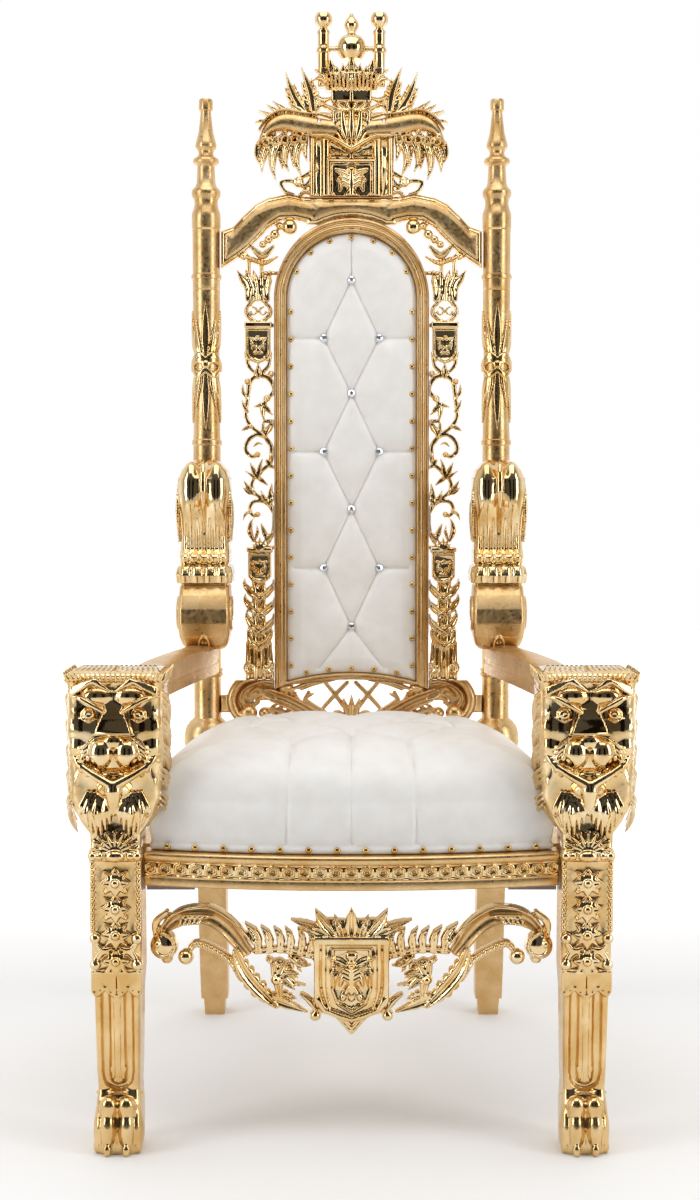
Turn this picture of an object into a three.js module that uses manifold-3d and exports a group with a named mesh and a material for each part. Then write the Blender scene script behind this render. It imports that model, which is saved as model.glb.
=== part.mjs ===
// A carved ceremonial throne with lion-headed front legs, a tall framed back and a crested top.
// Millimetres, +Z up, front towards -Y, origin on the floor under the middle of the whole chair.
import * as THREE from "three";
import { mergeVertices } from "three/addons/utils/BufferGeometryUtils.js";
import Module from "manifold-3d";

const wasm = await Module();
wasm.setup();

// ---- driving dimensions -------------------------------------------------------------------
const SLIVER = 0.15; // faces thinner than this are merged with their neighbours
const CARVED = 3; // the same for carving, where facets are coarse
const GAP = 0.4; // clearance between neighbouring pieces
const RAKE = THREE.MathUtils.degToRad(2); // lean of the back
const BACK_Y = 290; // where the back's plane crosses the height BACK_Z
const BACK_Z = 430;

const LEG_X = 347; // front legs and lion heads
const LEG_Y = -325;
const LEG_WIDTH = 76;
const LEG_TOP = 480;
const LION_WIDTH = 142;
const LION_TOP = 717;

const RAIL_LOW = 397; // seat rails
const RAIL_TOP = 449;
const RAIL_THICK = 36;
const REAR_X = 256;
const REAR_WIDTH = 51;

const POST_X = 262; // back posts
const POST_R = 24.5;
const POST_TOP = 1250;

const PANEL_HALF = 117; // upholstered back panel and its frame
const PANEL_LOW = 203;
const PANEL_RISE = 16; // the lower edge arches up by this much
const SPRING = 893; // height where the arch begins
const FRAME_WIDTH = 23;
const FRAME_DEEP = 24;
const SILL = 13; // height of the frame's lower member

const FRIEZE_X = 169; // carved side friezes
const FRIEZE_HALF = 22;
const BOARD = 20; // usual depth of the carved boards

const SATIN = new THREE.MeshStandardMaterial({ color: 0xd2a55f, metalness: 1, roughness: 0.4 });
const POLISHED = new THREE.MeshStandardMaterial({ color: 0xd9b062, metalness: 1, roughness: 0.12 });
const LEATHER = new THREE.MeshStandardMaterial({ color: 0xf2f0ec, metalness: 0, roughness: 0.5 });
const CRYSTAL = new THREE.MeshStandardMaterial({ color: 0xe8ecf0, metalness: 0.2, roughness: 0.05 });
const BOARDING = new THREE.MeshStandardMaterial({ color: 0x8f8a93, metalness: 0, roughness: 0.8 });

const throne = new THREE.Group();
throne.name = "throne";
const back = new THREE.Group(); // everything that leans with the back is modelled in this frame
back.position.set(0, BACK_Y, BACK_Z);
back.rotation.x = -RAKE;
throne.add(back);

// ---- solids -------------------------------------------------------------------------------
// A geometry as a manifold-3d solid, with its vertices welded.
function solid(geometry) {
  const bare = new THREE.BufferGeometry();
  bare.setAttribute("position", geometry.getAttribute("position"));
  bare.setIndex(geometry.getIndex());
  const welded = mergeVertices(bare, 1e-3);
  const positions = welded.getAttribute("position").array;
  const index = welded.getIndex().array;
  const kept = [];
  for (let i = 0; i < index.length; i += 3) {
    const [a, b, c] = index.slice(i, i + 3);
    if (a !== b && b !== c && c !== a) kept.push(a, b, c);
  }
  const made = new wasm.Manifold(
    new wasm.Mesh({ numProp: 3, vertProperties: positions, triVerts: new Uint32Array(kept) }),
  );
  return made;
}

function join(...shapes) {
  const solids = shapes.flat(Infinity).map((s) => (s.isBufferGeometry ? solid(s) : s));
  return wasm.Manifold.union(solids);
}

function cut(from, ...shapes) {
  return (from.isBufferGeometry ? solid(from) : from).subtract(join(...shapes));
}

// Merges the sliver faces that joining leaves.
function tidy(shape, tolerance) {
  return (shape.isBufferGeometry ? solid(shape) : shape).asOriginal().simplify(tolerance);
}

// Adds a finished solid to a group as a named mesh; across = -1 makes the mirrored partner.
function piece(group, name, shape, material, across = 1) {
  const raw = tidy(shape, SLIVER).getMesh();
  const positions = new Float32Array(raw.numVert * 3);
  for (let i = 0; i < raw.numVert; i++) {
    positions.set(raw.vertProperties.subarray(i * raw.numProp, i * raw.numProp + 3), i * 3);
  }
  const geometry = new THREE.BufferGeometry();
  geometry.setAttribute("position", new THREE.BufferAttribute(positions, 3));
  geometry.setIndex(new THREE.BufferAttribute(raw.triVerts, 1));
  geometry.computeVertexNormals();
  const mesh = new THREE.Mesh(geometry, material);
  mesh.name = name;
  mesh.scale.x = across;
  group.add(mesh);
}

function pair(group, name, shape, material) {
  piece(group, name + "_right", shape, material, 1);
  piece(group, name + "_left", shape, material, -1);
}

// A closed skin through rings that all have the same number of points, with flat ends.
function loft(rings) {
  const n = rings[0].length;
  const at = (r, k) => r * n + (k % n);
  const index = [];
  for (let r = 0; r < rings.length - 1; r++) {
    for (let k = 0; k < n; k++) {
      index.push(at(r, k), at(r, k + 1), at(r + 1, k + 1), at(r, k), at(r + 1, k + 1), at(r + 1, k));
    }
  }
  for (let k = 1; k < n - 1; k++) {
    const last = rings.length - 1;
    index.push(at(0, 0), at(0, k + 1), at(0, k), at(last, 0), at(last, k), at(last, k + 1));
  }
  const p = rings.flat();
  let volume = 0;
  for (let i = 0; i < index.length; i += 3) {
    const [a, b, c] = [p[index[i]], p[index[i + 1]], p[index[i + 2]]].map((v) => new THREE.Vector3(...v));
    volume += a.dot(b.cross(c));
  }
  if (volume < 0) index.reverse();
  const geometry = new THREE.BufferGeometry();
  geometry.setAttribute("position", new THREE.Float32BufferAttribute(p.flat(), 3));
  geometry.setIndex(index);
  return geometry;
}

// A carved stroke on a board: a ridge along a smooth path of (x, z) points. The board's back is
// the plane y = base and its front is towards -y. widths are half-widths from end to end.
function ridge(points, widths, height, steps = 3, base = 0, wall = 0) {
  const path = new THREE.SplineCurve(points.map((p) => new THREE.Vector2(...p)));
  const rings = [];
  for (let i = 0; i <= steps; i++) {
    const t = i / steps;
    const [x, z] = path.getPoint(t).toArray();
    const [tx, tz] = path.getTangent(t).toArray();
    const span = t * (widths.length - 1);
    const k = Math.min(Math.floor(span), widths.length - 2);
    const w = Math.max(0.8, THREE.MathUtils.lerp(widths[k], widths[k + 1], span - k));
    const h = height * (0.7 + 0.3 * Math.min(1, w / Math.max(...widths)));
    const place = (side, out) => [x - tz * side, base - out, z + tx * side];
    rings.push(
      wall
        ? [place(-w, 0), place(-w, h * wall), place(0, h), place(w, h * wall), place(w, 0)]
        : [place(-w, 0), place(0, h), place(w, 0)],
    );
  }
  return loft(rings);
}

// A spiral stroke: starts at the angle from (degrees), sweeps round and winds in to its boss.
function curl(cx, cz, radius, from, sweep, width, height, base = 0) {
  const turns = Math.abs(sweep) / 360;
  const points = [];
  for (let i = 0; i <= 6; i++) {
    const a = THREE.MathUtils.degToRad(from + (sweep * i) / 6);
    const r = radius * Math.pow(0.5, (turns * i) / 6);
    points.push([cx + r * Math.cos(a), cz + r * Math.sin(a)]);
  }
  const steps = Math.max(4, Math.round(turns * 8));
  return ridge(points, [width * 0.6, width, width * 0.7], height, steps, base);
}

// Leaf lobes that spread from one root, between two directions in degrees.
function spray(root, from, to, count, length, width, height, base = 0) {
  const lobes = [];
  for (let i = 0; i < count; i++) {
    const share = count > 1 ? i / (count - 1) : 0.5;
    const a = THREE.MathUtils.degToRad(THREE.MathUtils.lerp(from, to, share));
    const reach = length * (0.78 + 0.22 * Math.sin(Math.PI * share));
    const mid = [root[0] + 0.55 * reach * Math.cos(a), root[1] + 0.55 * reach * Math.sin(a)];
    const tip = [root[0] + reach * Math.cos(a), root[1] + reach * Math.sin(a)];
    lobes.push(ridge([root, mid, tip], [width * 0.5, width, 0.8], height, 2, base));
  }
  return lobes;
}

function ball(x, y, z, rx, ry = rx, rz = rx, around = 6, up = 4) {
  return new THREE.SphereGeometry(1, around, up).rotateX(Math.PI / 2).scale(rx, ry, rz).translate(x, y, z);
}

// A box between two corners.
function block(x0, x1, y0, y1, z0, z1) {
  return new THREE.BoxGeometry(x1 - x0, y1 - y0, z1 - z0).translate((x0 + x1) / 2, (y0 + y1) / 2,
    (z0 + z1) / 2);
}

// An outline in the board's (x, z) plane, given depth from y = base towards -y.
function plate(outline, depth, base = 0, curve = 6, bevel = 0) {
  const options = { depth: depth - bevel, curveSegments: curve, bevelEnabled: bevel > 0 };
  Object.assign(options,
    { bevelThickness: bevel, bevelSize: bevel, bevelOffset: -bevel, bevelSegments: 1 });
  const made = new THREE.ExtrudeGeometry(outline, options).rotateX(Math.PI / 2).translate(0, base, 0);
  if (bevel === 0) return made;
  // the bevel on the back face is flattened away, so that the back stays one plane
  const p = made.getAttribute("position");
  for (let i = 0; i < p.count; i++) if (p.getY(i) > base) p.setY(i, base);
  return made;
}

function polygon(points) {
  return new THREE.Shape(points.map((p) => new THREE.Vector2(...p)));
}

function turned(profile, around = 14) {
  const points = profile.map(([r, z]) => new THREE.Vector2(r, z));
  return new THREE.LatheGeometry(points, around).rotateX(Math.PI / 2).rotateZ(Math.PI / around);
}

function mirrored(geometry) {
  const copy = geometry.index ? geometry.toNonIndexed() : geometry.clone();
  const p = copy.getAttribute("position");
  for (let i = 0; i < p.count; i++) p.setX(i, -p.getX(i));
  for (let i = 0; i < p.count; i += 3) {
    const [a, b] = [new THREE.Vector3().fromBufferAttribute(p, i + 1),
      new THREE.Vector3().fromBufferAttribute(p, i + 2)];
    p.setXYZ(i + 1, b.x, b.y, b.z);
    p.setXYZ(i + 2, a.x, a.y, a.z);
  }
  return copy;
}

// Lays a stroke made for a front face on the side plane x = at, facing outwards to side (1 or -1).
function onSide(geometry, at, side) {
  const onPlane = geometry.rotateZ(Math.PI / 2).translate(at, 0, 0);
  return side > 0 ? onPlane : mirrored(onPlane).translate(2 * at, 0, 0);
}

const both = (...shapes) => shapes.flat(Infinity).flatMap((s) => [s, mirrored(s)]);

// An octagonal ring for a leg: chamfered rectangle at height z.
function legRing(x, y, halfX, halfY, chamfer, z) {
  const [a, b, c] = [halfX, halfY, chamfer];
  const corners = [[a, -b + c], [a, b - c], [a - c, b], [-a + c, b], [-a, b - c], [-a, -b + c],
    [-a + c, -b], [a - c, -b]];
  return corners.map(([dx, dy]) => [x + dx, y + dy, z]);
}

// ---- front legs: a lion's paw, a fluted shank, a flowered panel and the lion's head ---------
function frontLeg() {
  const x = LEG_X;
  const half = LEG_WIDTH / 2;
  const front = LEG_Y - half; // front face of the flowered panel
  const shank = loft([
    legRing(x, LEG_Y, 34, 34, 8, 70),
    legRing(x, LEG_Y + 4, 33, 36, 8, 120),
    legRing(x, LEG_Y + 2, 34, 38, 8, 240),
    legRing(x, LEG_Y, half, half, 7, 272),
    legRing(x, LEG_Y, half, half, 7, LEG_TOP + 6),
  ]);
  // paw: a pad with two front toes and one toe on each side
  const pad = loft([
    legRing(x, -340, 31, 36, 10, 0),
    legRing(x, -338, 35, 36, 11, 30),
    legRing(x, -328, 34, 34, 10, 84),
  ]);
  const toes = [-1, 1].flatMap((side) => [
    ball(x + side * 13, -364, 34, 14, 22, 34, 5, 4),
    ball(x + side * 28, -350, 30, 10, 26, 30, 5, 3),
  ]);
  const floor = block(x - 60, x + 60, -420, -250, -40, 0);
  // two hollow flutes that meet in a U under a central rib
  const fluteFront = LEG_Y - 34 - 6;
  const flutes = [-1, 1].map((side) => block(x + side * 17 - 7, x + side * 17 + 7, fluteFront,
    fluteFront + 11, 110, 250));
  const bend = loft([-24, -10, 10, 24].map((d) => {
    const z = 97 + Math.abs(d) / 3;
    return [[x + d, fluteFront, z - 5], [x + d, fluteFront + 11, z - 5], [x + d, fluteFront + 11, z + 7],
      [x + d, fluteFront, z + 7]];
  }));
  // lappet with three scallops
  const lappet = new THREE.Shape();
  lappet.moveTo(x - 36, 282).lineTo(x - 36, 242);
  for (const k of [-1, 0, 1]) lappet.quadraticCurveTo(x + k * 24, k ? 228 : 224, x + k * 24 + 12, 240);
  lappet.lineTo(x + 36, 282).closePath();
  const skirt = plate(lappet, 7, front + 4, 2);
  // four flowers, each with four round petals and a bead
  const flowers = [];
  for (let i = 0; i < 4; i++) {
    const z = 406 - 39 * i;
    const petals = [];
    for (let k = 0; k < 8; k++) {
      const a = (Math.PI * k) / 4;
      const r = k % 2 ? 12 : 19.4;
      petals.push([x + r * Math.cos(a), z + r * Math.sin(a)]);
    }
    flowers.push(plate(polygon(petals), 6, front + 1.5, 1), ball(x, front - 4, z, 9, 6, 9, 5, 3));
  }
  const sides = [-1, 1].flatMap((side) => [
    ball(x + side * 31, front - 1, 323, 8, 7, 9, 5, 3),
    ball(x + side * 31, front - 1, 284, 8, 7, 9, 5, 3),
  ]);
  // collar with a long middle bead and a pair of round beads on each side
  const collar = [
    block(x - half - 1, x + half + 1, front - 3, front + 60, 438, 456),
    ball(x, front - 5, 447, 16, 7, 10, 6, 3),
    ...[-1, 1].map((side) => ball(x + side * 29, front - 3, 447, 8, 6, 9, 5, 3)),
  ];
  const rays = [-45, 0, 45].map((deg) => {
    const a = THREE.MathUtils.degToRad(deg);
    return ridge([[x, 454], [x + 33 * Math.sin(a), 454 + 27 * Math.cos(a)]], [3, 9], 6, 1, front + 2);
  });
  return tidy(join(cut(join(shank, pad, toes), flutes, bend, floor), skirt, flowers, sides, collar, rays,
    lionHead(x)), CARVED);
}

// The head looks out over the leg. Its block is square on top and draws in to the leg below.
function lionHead(x) {
  const half = LION_WIDTH / 2;
  const skull = loft([
    legRing(x, -322, 39, 37, 8, 470),
    legRing(x, -312, 52, 50, 14, 494),
    legRing(x, -303, half - 4, 58, 18, 530),
    legRing(x, -303, half, 60, 16, 600),
    legRing(x, -303, half - 1, 60, 16, 690),
    legRing(x, -303, half + 1, 64, 16, 704),
    legRing(x, -303, half - 6, 56, 14, LION_TOP - 3),
  ]);
  const front = -363; // plane of the cheeks
  const wedge = (w0, w1, z0, z1, out0, out1) =>
    loft([
      [[x - w0, front + 6, z0], [x + w0, front + 6, z0], [x + w0 * 0.7, front - out0, z0],
        [x - w0 * 0.7, front - out0, z0]],
      [[x - w1, front + 6, z1], [x + w1, front + 6, z1], [x + w1 * 0.7, front - out1, z1],
        [x - w1 * 0.7, front - out1, z1]],
    ]);
  const nose = wedge(29, 15, 628, 672, 16, 3);
  const snout = wedge(18, 16, 606, 630, 13, 14);
  const chin = wedge(9, 17, 508, 548, 9, 16);
  const pads = [-1, 1].map((s) => ball(x + s * 18, front - 2, 598, 19, 19, 24, 6, 4));
  const brows = [-1, 1].map((s) => ball(x + s * 24, front + 2, 681, 25, 11, 14, 6, 4));
  const eyes = [-1, 1].flatMap((s) => [
    ball(x + s * 37, front, 659, 9, 6, 9, 5, 3),
    ridge([[x + s * 14, 662], [x + s * 36, 674], [x + s * 60, 678]], [3, 4, 2], 11, 2, front + 3),
  ]);
  const mouth = [0, -37, 37].map((d) => ball(x + d, front - 8, 571, 18, d ? 14 : 24, 10, 5, 3));
  const jaw = [-1, 1].map((s) =>
    ridge([[x + s * 2, 546], [x + s * 30, 550], [x + s * 58, 580]], [8, 6, 3], 16, 3, front + 3, 0.5),
  );
  const strands = [-1, 1].flatMap((s) => [
    ridge([[x + s * 4, 694], [x + s * 28, 706], [x + s * 62, 699]], [3, 7, 2], 11, 2, front + 4),
    ...[0, 1].map((k) =>
      ridge([[x + s * (22 + 15 * k), 534 + 5 * k], [x + s * (30 + 14 * k), 508 + 5 * k],
        [x + s * (25 + 13 * k), 480 + 15 * k]],
        [5, 10, 2], 13 - 4 * k, 2, front + 6)),
  ]);
  const beard = ridge([[x, 512], [x, 490]], [9, 5], 15, 1, front + 8);
  // locks of the mane lie along both cheeks
  const mane = [];
  for (const s of [-1, 1]) {
    for (let k = 0; k < 3; k++) {
      const lock = ridge([[-352, 672 - 46 * k], [-262, 624 - 46 * k]], [20, 5], 6, 1);
      mane.push(onSide(lock, x + s * (half - 4), s));
    }
  }
  return join(cut(join(skull, nose, snout, pads, brows), mouth), chin, eyes, jaw, strands, beard, mane);
}

pair(throne, "front_leg", frontLeg(), POLISHED);

// ---- seat frame, rear legs, corner plates ---------------------------------------------------
// The front rail bows forward: its front face is an arc from the ends to the middle.
function bowed(halfWidth, ends, middle, rear) {
  const shape = new THREE.Shape();
  shape.moveTo(-halfWidth, rear).lineTo(-halfWidth, ends);
  shape.quadraticCurveTo(0, 2 * middle - ends, halfWidth, ends).lineTo(halfWidth, rear).closePath();
  return shape;
}

function frontRail() {
  const half = LEG_X - LEG_WIDTH / 2 - 1.5;
  const slab = (out, low, high) =>
    new THREE.ExtrudeGeometry(bowed(half, -336 - out, -375 - out, -305),
      { depth: high - low, bevelEnabled: false, curveSegments: 6 })
      .translate(0, 0, low);
  const beads = [];
  for (let i = -5; i <= 5; i++) {
    const x = i * 54;
    const y = -336 - 39 * (1 - (x / half) ** 2);
    beads.push(ball(x, y, 423, 9, 7, 9, 4, 3));
  }
  return join(slab(4, RAIL_LOW, 412), slab(0, 411, 435), slab(9, 434, RAIL_TOP), beads);
}

piece(throne, "seat_rail_front", frontRail(), SATIN);

const railFront = [LEG_X - 6, LEG_Y + LEG_WIDTH / 2 + 4]; // side rails run from leg to rear leg
const railRear = [REAR_X + 8, BACK_Y - 27];
function railRing([x, y], low, high) {
  return [[x, y, low], [x - RAIL_THICK, y, low], [x - RAIL_THICK, y, high], [x, y, high]];
}
pair(throne, "seat_rail_side",
  loft([railRing(railFront, RAIL_LOW, RAIL_TOP), railRing(railRear, RAIL_LOW, RAIL_TOP)]), SATIN);
piece(throne, "seat_rail_back",
  block(-REAR_X + 26, REAR_X - 26, BACK_Y - 18, BACK_Y + 18, RAIL_LOW, RAIL_TOP), SATIN);

// Rear legs are square, kick back towards the floor and step in to a narrower foot.
function rearLeg() {
  const h = REAR_WIDTH / 2;
  const ring = (y, hx, hy, z) => [[-hx, -hy], [hx, -hy], [hx, hy],
    [-hx, hy]].map(([dx, dy]) => [REAR_X + dx, y + dy, z]);
  const body = loft([ring(356, h - 1, h - 2, 32), ring(346, h, h - 1, 89), ring(312, h, h, 250),
    ring(292, h, 26, 400), ring(290, h, 26, RAIL_TOP)]);
  const foot = loft([ring(361.5, 18, 23, 0), ring(357, 20, 23.5, 36)]);
  return join(body, foot);
}
pair(throne, "rear_leg", rearLeg(), SATIN);

// Flat boards close the corners under the seat behind the front legs.
const plateShape = [[-308, -302], [-308, -110], [-286, -90], [-236, -175],
  [-236, -302]].map(([x, y]) => [-x, y]);
const cornerPlate = new THREE.ExtrudeGeometry(polygon(plateShape),
  { depth: 14, bevelEnabled: false }).translate(0, 0, RAIL_LOW - 14 - GAP);
pair(throne, "corner_plate", cornerPlate, BOARDING);

// ---- seat cushion ---------------------------------------------------------------------------
function cushion() {
  const ring = (z, front, frontHalf, sideHalf, rearHalf, rear) => {
    const corner = Math.max(-232, front + 46); // where the front legs notch the sides
    const right = [
      [0, front - 36, z],
      [frontHalf * 0.55, front - 25, z],
      [frontHalf, front, z],
      [frontHalf + 1, corner, z],
      [sideHalf, corner + 18, z],
      [sideHalf - 14, 0, z],
      [rearHalf, rear, z],
      [0, rear + 4, z],
    ];
    return [...right, ...right.slice(1, -1).reverse().map(([x, y, h]) => [-x, y, h])];
  };
  return loft([
    ring(RAIL_TOP + GAP, -334, 300, 302, 234, 244),
    ring(476, -339, 300, 308, 236, 246),
    ring(508, -330, 268, 314, 238, 246),
    ring(548, -312, 262, 300, 230, 240),
    ring(578, -262, 225, 240, 196, 212),
    ring(597, -150, 130, 140, 120, 130),
  ]);
}
piece(throne, "seat_cushion", cushion(), LEATHER);

// ---- back posts -------------------------------------------------------------------------------
const postProfile = [
  [0, 21], [27, 21], [27, 58], [34, 66], [44, 92], [40, 119], [25, 136], [25, 214], [28.5, 219], [25, 224],
  [POST_R, 620], [27, 635], [POST_R, 650], [23, 700], [26, 774], [24, 800], [POST_R, 905], [POST_R,
    926], [27, 934],
  [POST_R, 942], [25.7, 1017], [25.7, 1047], [21, 1066], [25, 1084], [17, 1098], [15, 1133], [23,
    1141], [12.7, 1154],
  [18.5, 1170], [12, 1205], [12, POST_TOP], [0, POST_TOP],
];
pair(back, "back_post", turned(postProfile, 9).translate(POST_X, 0, 0), SATIN);

// ---- arms: a level rail from the lion's nape to the post, and the scroll that climbs the post ---
function arm() {
  const ring = (x, y, half, low, high) => [[x - half, y, low], [x + half, y, low], [x + half, y, high - 6],
    [x + half - 8, y, high], [x - half + 8, y, high], [x - half, y, high - 6]];
  const rail = loft([ring(313, -236, 27, 667, 712), ring(308, -150, 26, 662, 714),
    ring(272, 170, 27, 655, 708), ring(265, 262, 27, 652, 706)]);
  // scroll bracket: rings up the post, each with its own reach forward; the post passes behind it
  const rear = 268;
  const scrollRing = (z, half, reach, c = 12) =>
    [[-half, 0], [-half, -reach + c], [-half + c, -reach], [half - c, -reach], [half, -reach + c],
      [half, 0]]
      .map(([dx, dy]) => [POST_X - 2 + dx, rear + (z - 706) * Math.tan(RAKE) + dy, z]);
  const scroll = loft([
    scrollRing(700, 40, 62, 14), scrollRing(722, 45, 84), scrollRing(768, 45, 88), scrollRing(812, 44,
      66), scrollRing(818, 47, 76),
    scrollRing(846, 45, 72), scrollRing(852, 43, 62), scrollRing(960, 44, 84), scrollRing(1008, 43, 84,
      16), scrollRing(1032, 32, 44, 14),
  ]);
  const face = (z, out) => rear + (z - 706) * Math.tan(RAKE) - out;
  const lobes = [-1, 1].map((s) => ball(POST_X - 2 + s * 23, face(980, 78), 972, 20, 18, 58, 6, 5));
  const tongue = ridge([[POST_X - 2, 880], [POST_X - 2, 1026]], [5, 8, 2], 14, 2, face(960, 82));
  const scallops = [-1, 0, 1].map((k) => ball(POST_X - 2 + 30 * k, face(832, 72), 832, 14, 8, 13, 5, 3));
  return join(rail, scroll, lobes, tongue, scallops);
}
pair(throne, "arm", arm(), SATIN);

// ---- framed back panel ----------------------------------------------------------------------
function panelOutline(inset) {
  const half = PANEL_HALF - inset;
  const shape = new THREE.Shape();
  shape.moveTo(-half, PANEL_LOW + inset);
  shape.quadraticCurveTo(0, PANEL_LOW + 2 * PANEL_RISE + inset, half, PANEL_LOW + inset);
  shape.lineTo(half, SPRING).absarc(0, SPRING, half, 0, Math.PI).closePath();
  return shape;
}
const frameShape = new THREE.Shape();
const frameHalf = PANEL_HALF + FRAME_WIDTH;
frameShape.moveTo(-frameHalf, PANEL_LOW - SILL);
frameShape.quadraticCurveTo(0, PANEL_LOW - SILL + 2 * PANEL_RISE, frameHalf, PANEL_LOW - SILL);
frameShape.lineTo(frameHalf, SPRING).absellipse(0, SPRING, frameHalf, 147, 0, Math.PI).closePath();
const step = plate(panelOutline(-SILL + 4), FRAME_DEEP + 5, 6, 9);
const panelFrame = cut(join(plate(frameShape, FRAME_DEEP, 6, 9), step), plate(panelOutline(0), 60, 20, 9));
piece(back, "panel_frame", panelFrame, SATIN);

const buttons = [927, 724, 516, 303.5].map((z) => [0, z]);
for (const z of [823, 619, 409]) buttons.push([-50, z], [50, z]);
const PAD_FACE = -14; // front of the pad at a button
const dimple = ([x, z]) => turned([[0, 0], [7.6, 0], [10, 14], [0, 14]],
  5).rotateX(Math.PI / 2).translate(x, PAD_FACE + 6, z);
piece(back, "back_panel", cut(plate(panelOutline(GAP), 24, 4, 9, 6), ...buttons.map(dimple)), LEATHER);
buttons.forEach(([x, z], i) => {
  const gem = turned([[0, 0.6], [6.6, 0.6], [6.6, 6], [0, 10]], 5).rotateX(Math.PI / 2).translate(x,
    PAD_FACE + 6, z);
  piece(back, "button_" + (i + 1), gem, CRYSTAL);
});
piece(back, "outside_back", plate(panelOutline(-8), 8, 6 + 8 + GAP, 8), LEATHER);

// ---- crest rail: the satin wings that climb from the posts to the crest ------------------------
// Its outline for the right side, grown by the given margin.
function wingShape(margin) {
  const inner = 64;
  const post = POST_X - POST_R - 2 - GAP + margin;
  const [m, shape] = [margin, new THREE.Shape()];
  shape.moveTo(post, 1013 + m);
  shape.bezierCurveTo(212, 1018 + m, 196, 1045 + m, 172, 1062 + m);
  shape.bezierCurveTo(150, 1076 + m, 112, 1084 + m, 90, 1076 + m);
  shape.lineTo(inner, 1074 + m).lineTo(inner, 1026 - m).lineTo(100, 1034 - m);
  shape.bezierCurveTo(150, 1040 - m, 160, 1008 - m, 176, 993 - m);
  shape.bezierCurveTo(188, 980 - m, 210, 966 - m, post, 947 - m);
  return shape;
}
const wing = () => plate(wingShape(0), 26, 8, 5, 4);
piece(back, "crest_rail", cut(join(both(wing()), block(-66, 66, -12, 8, 1026, 1074)), frameBlank()), SATIN);

// The room that the panel's frame takes, a little larger than the frame.
function frameBlank() {
  const shape = new THREE.Shape();
  const half = frameHalf + GAP;
  shape.moveTo(-half, 120).lineTo(half, 120).lineTo(half, SPRING).absellipse(0, SPRING, half, 147 + GAP, 0,
    Math.PI).closePath();
  return plate(shape, 90, 40, 9);
}

// ---- carved boards: motifs --------------------------------------------------------------------
// A heater shield with a plain rim and a spread eagle on its field.
function shield(x, top, half, tall, depth, base = 0) {
  const outline = (d) => {
    const s = new THREE.Shape();
    const [w, low] = [half - d, top - tall + d * 1.3];
    s.moveTo(x - w, top - d).lineTo(x - w, low + tall * 0.2);
    s.quadraticCurveTo(x - w * 0.7, low + tall * 0.1, x, low);
    s.quadraticCurveTo(x + w * 0.7, low + tall * 0.1, x + w, low + tall * 0.2).lineTo(x + w,
      top - d).closePath();
    return s;
  };
  const field = plate(outline(half * 0.14), 40, base - depth + 3, 2);
  return join(cut(plate(outline(0), depth, base, 2), field),
    eagle(x, top - tall * 0.5, half * 0.62, base - depth + 4));
}

function eagle(x, z, span, base) {
  const wings = [-1, 1].map((s) => ridge([[x, z], [x + s * span * 0.9, z + span * 0.6]],
    [span * 0.2, span * 0.45], 5, 1, base));
  return join(wings, ridge([[x, z + span * 0.9], [x, z - span]], [span * 0.16, span * 0.34], 6, 1, base));
}

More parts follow.
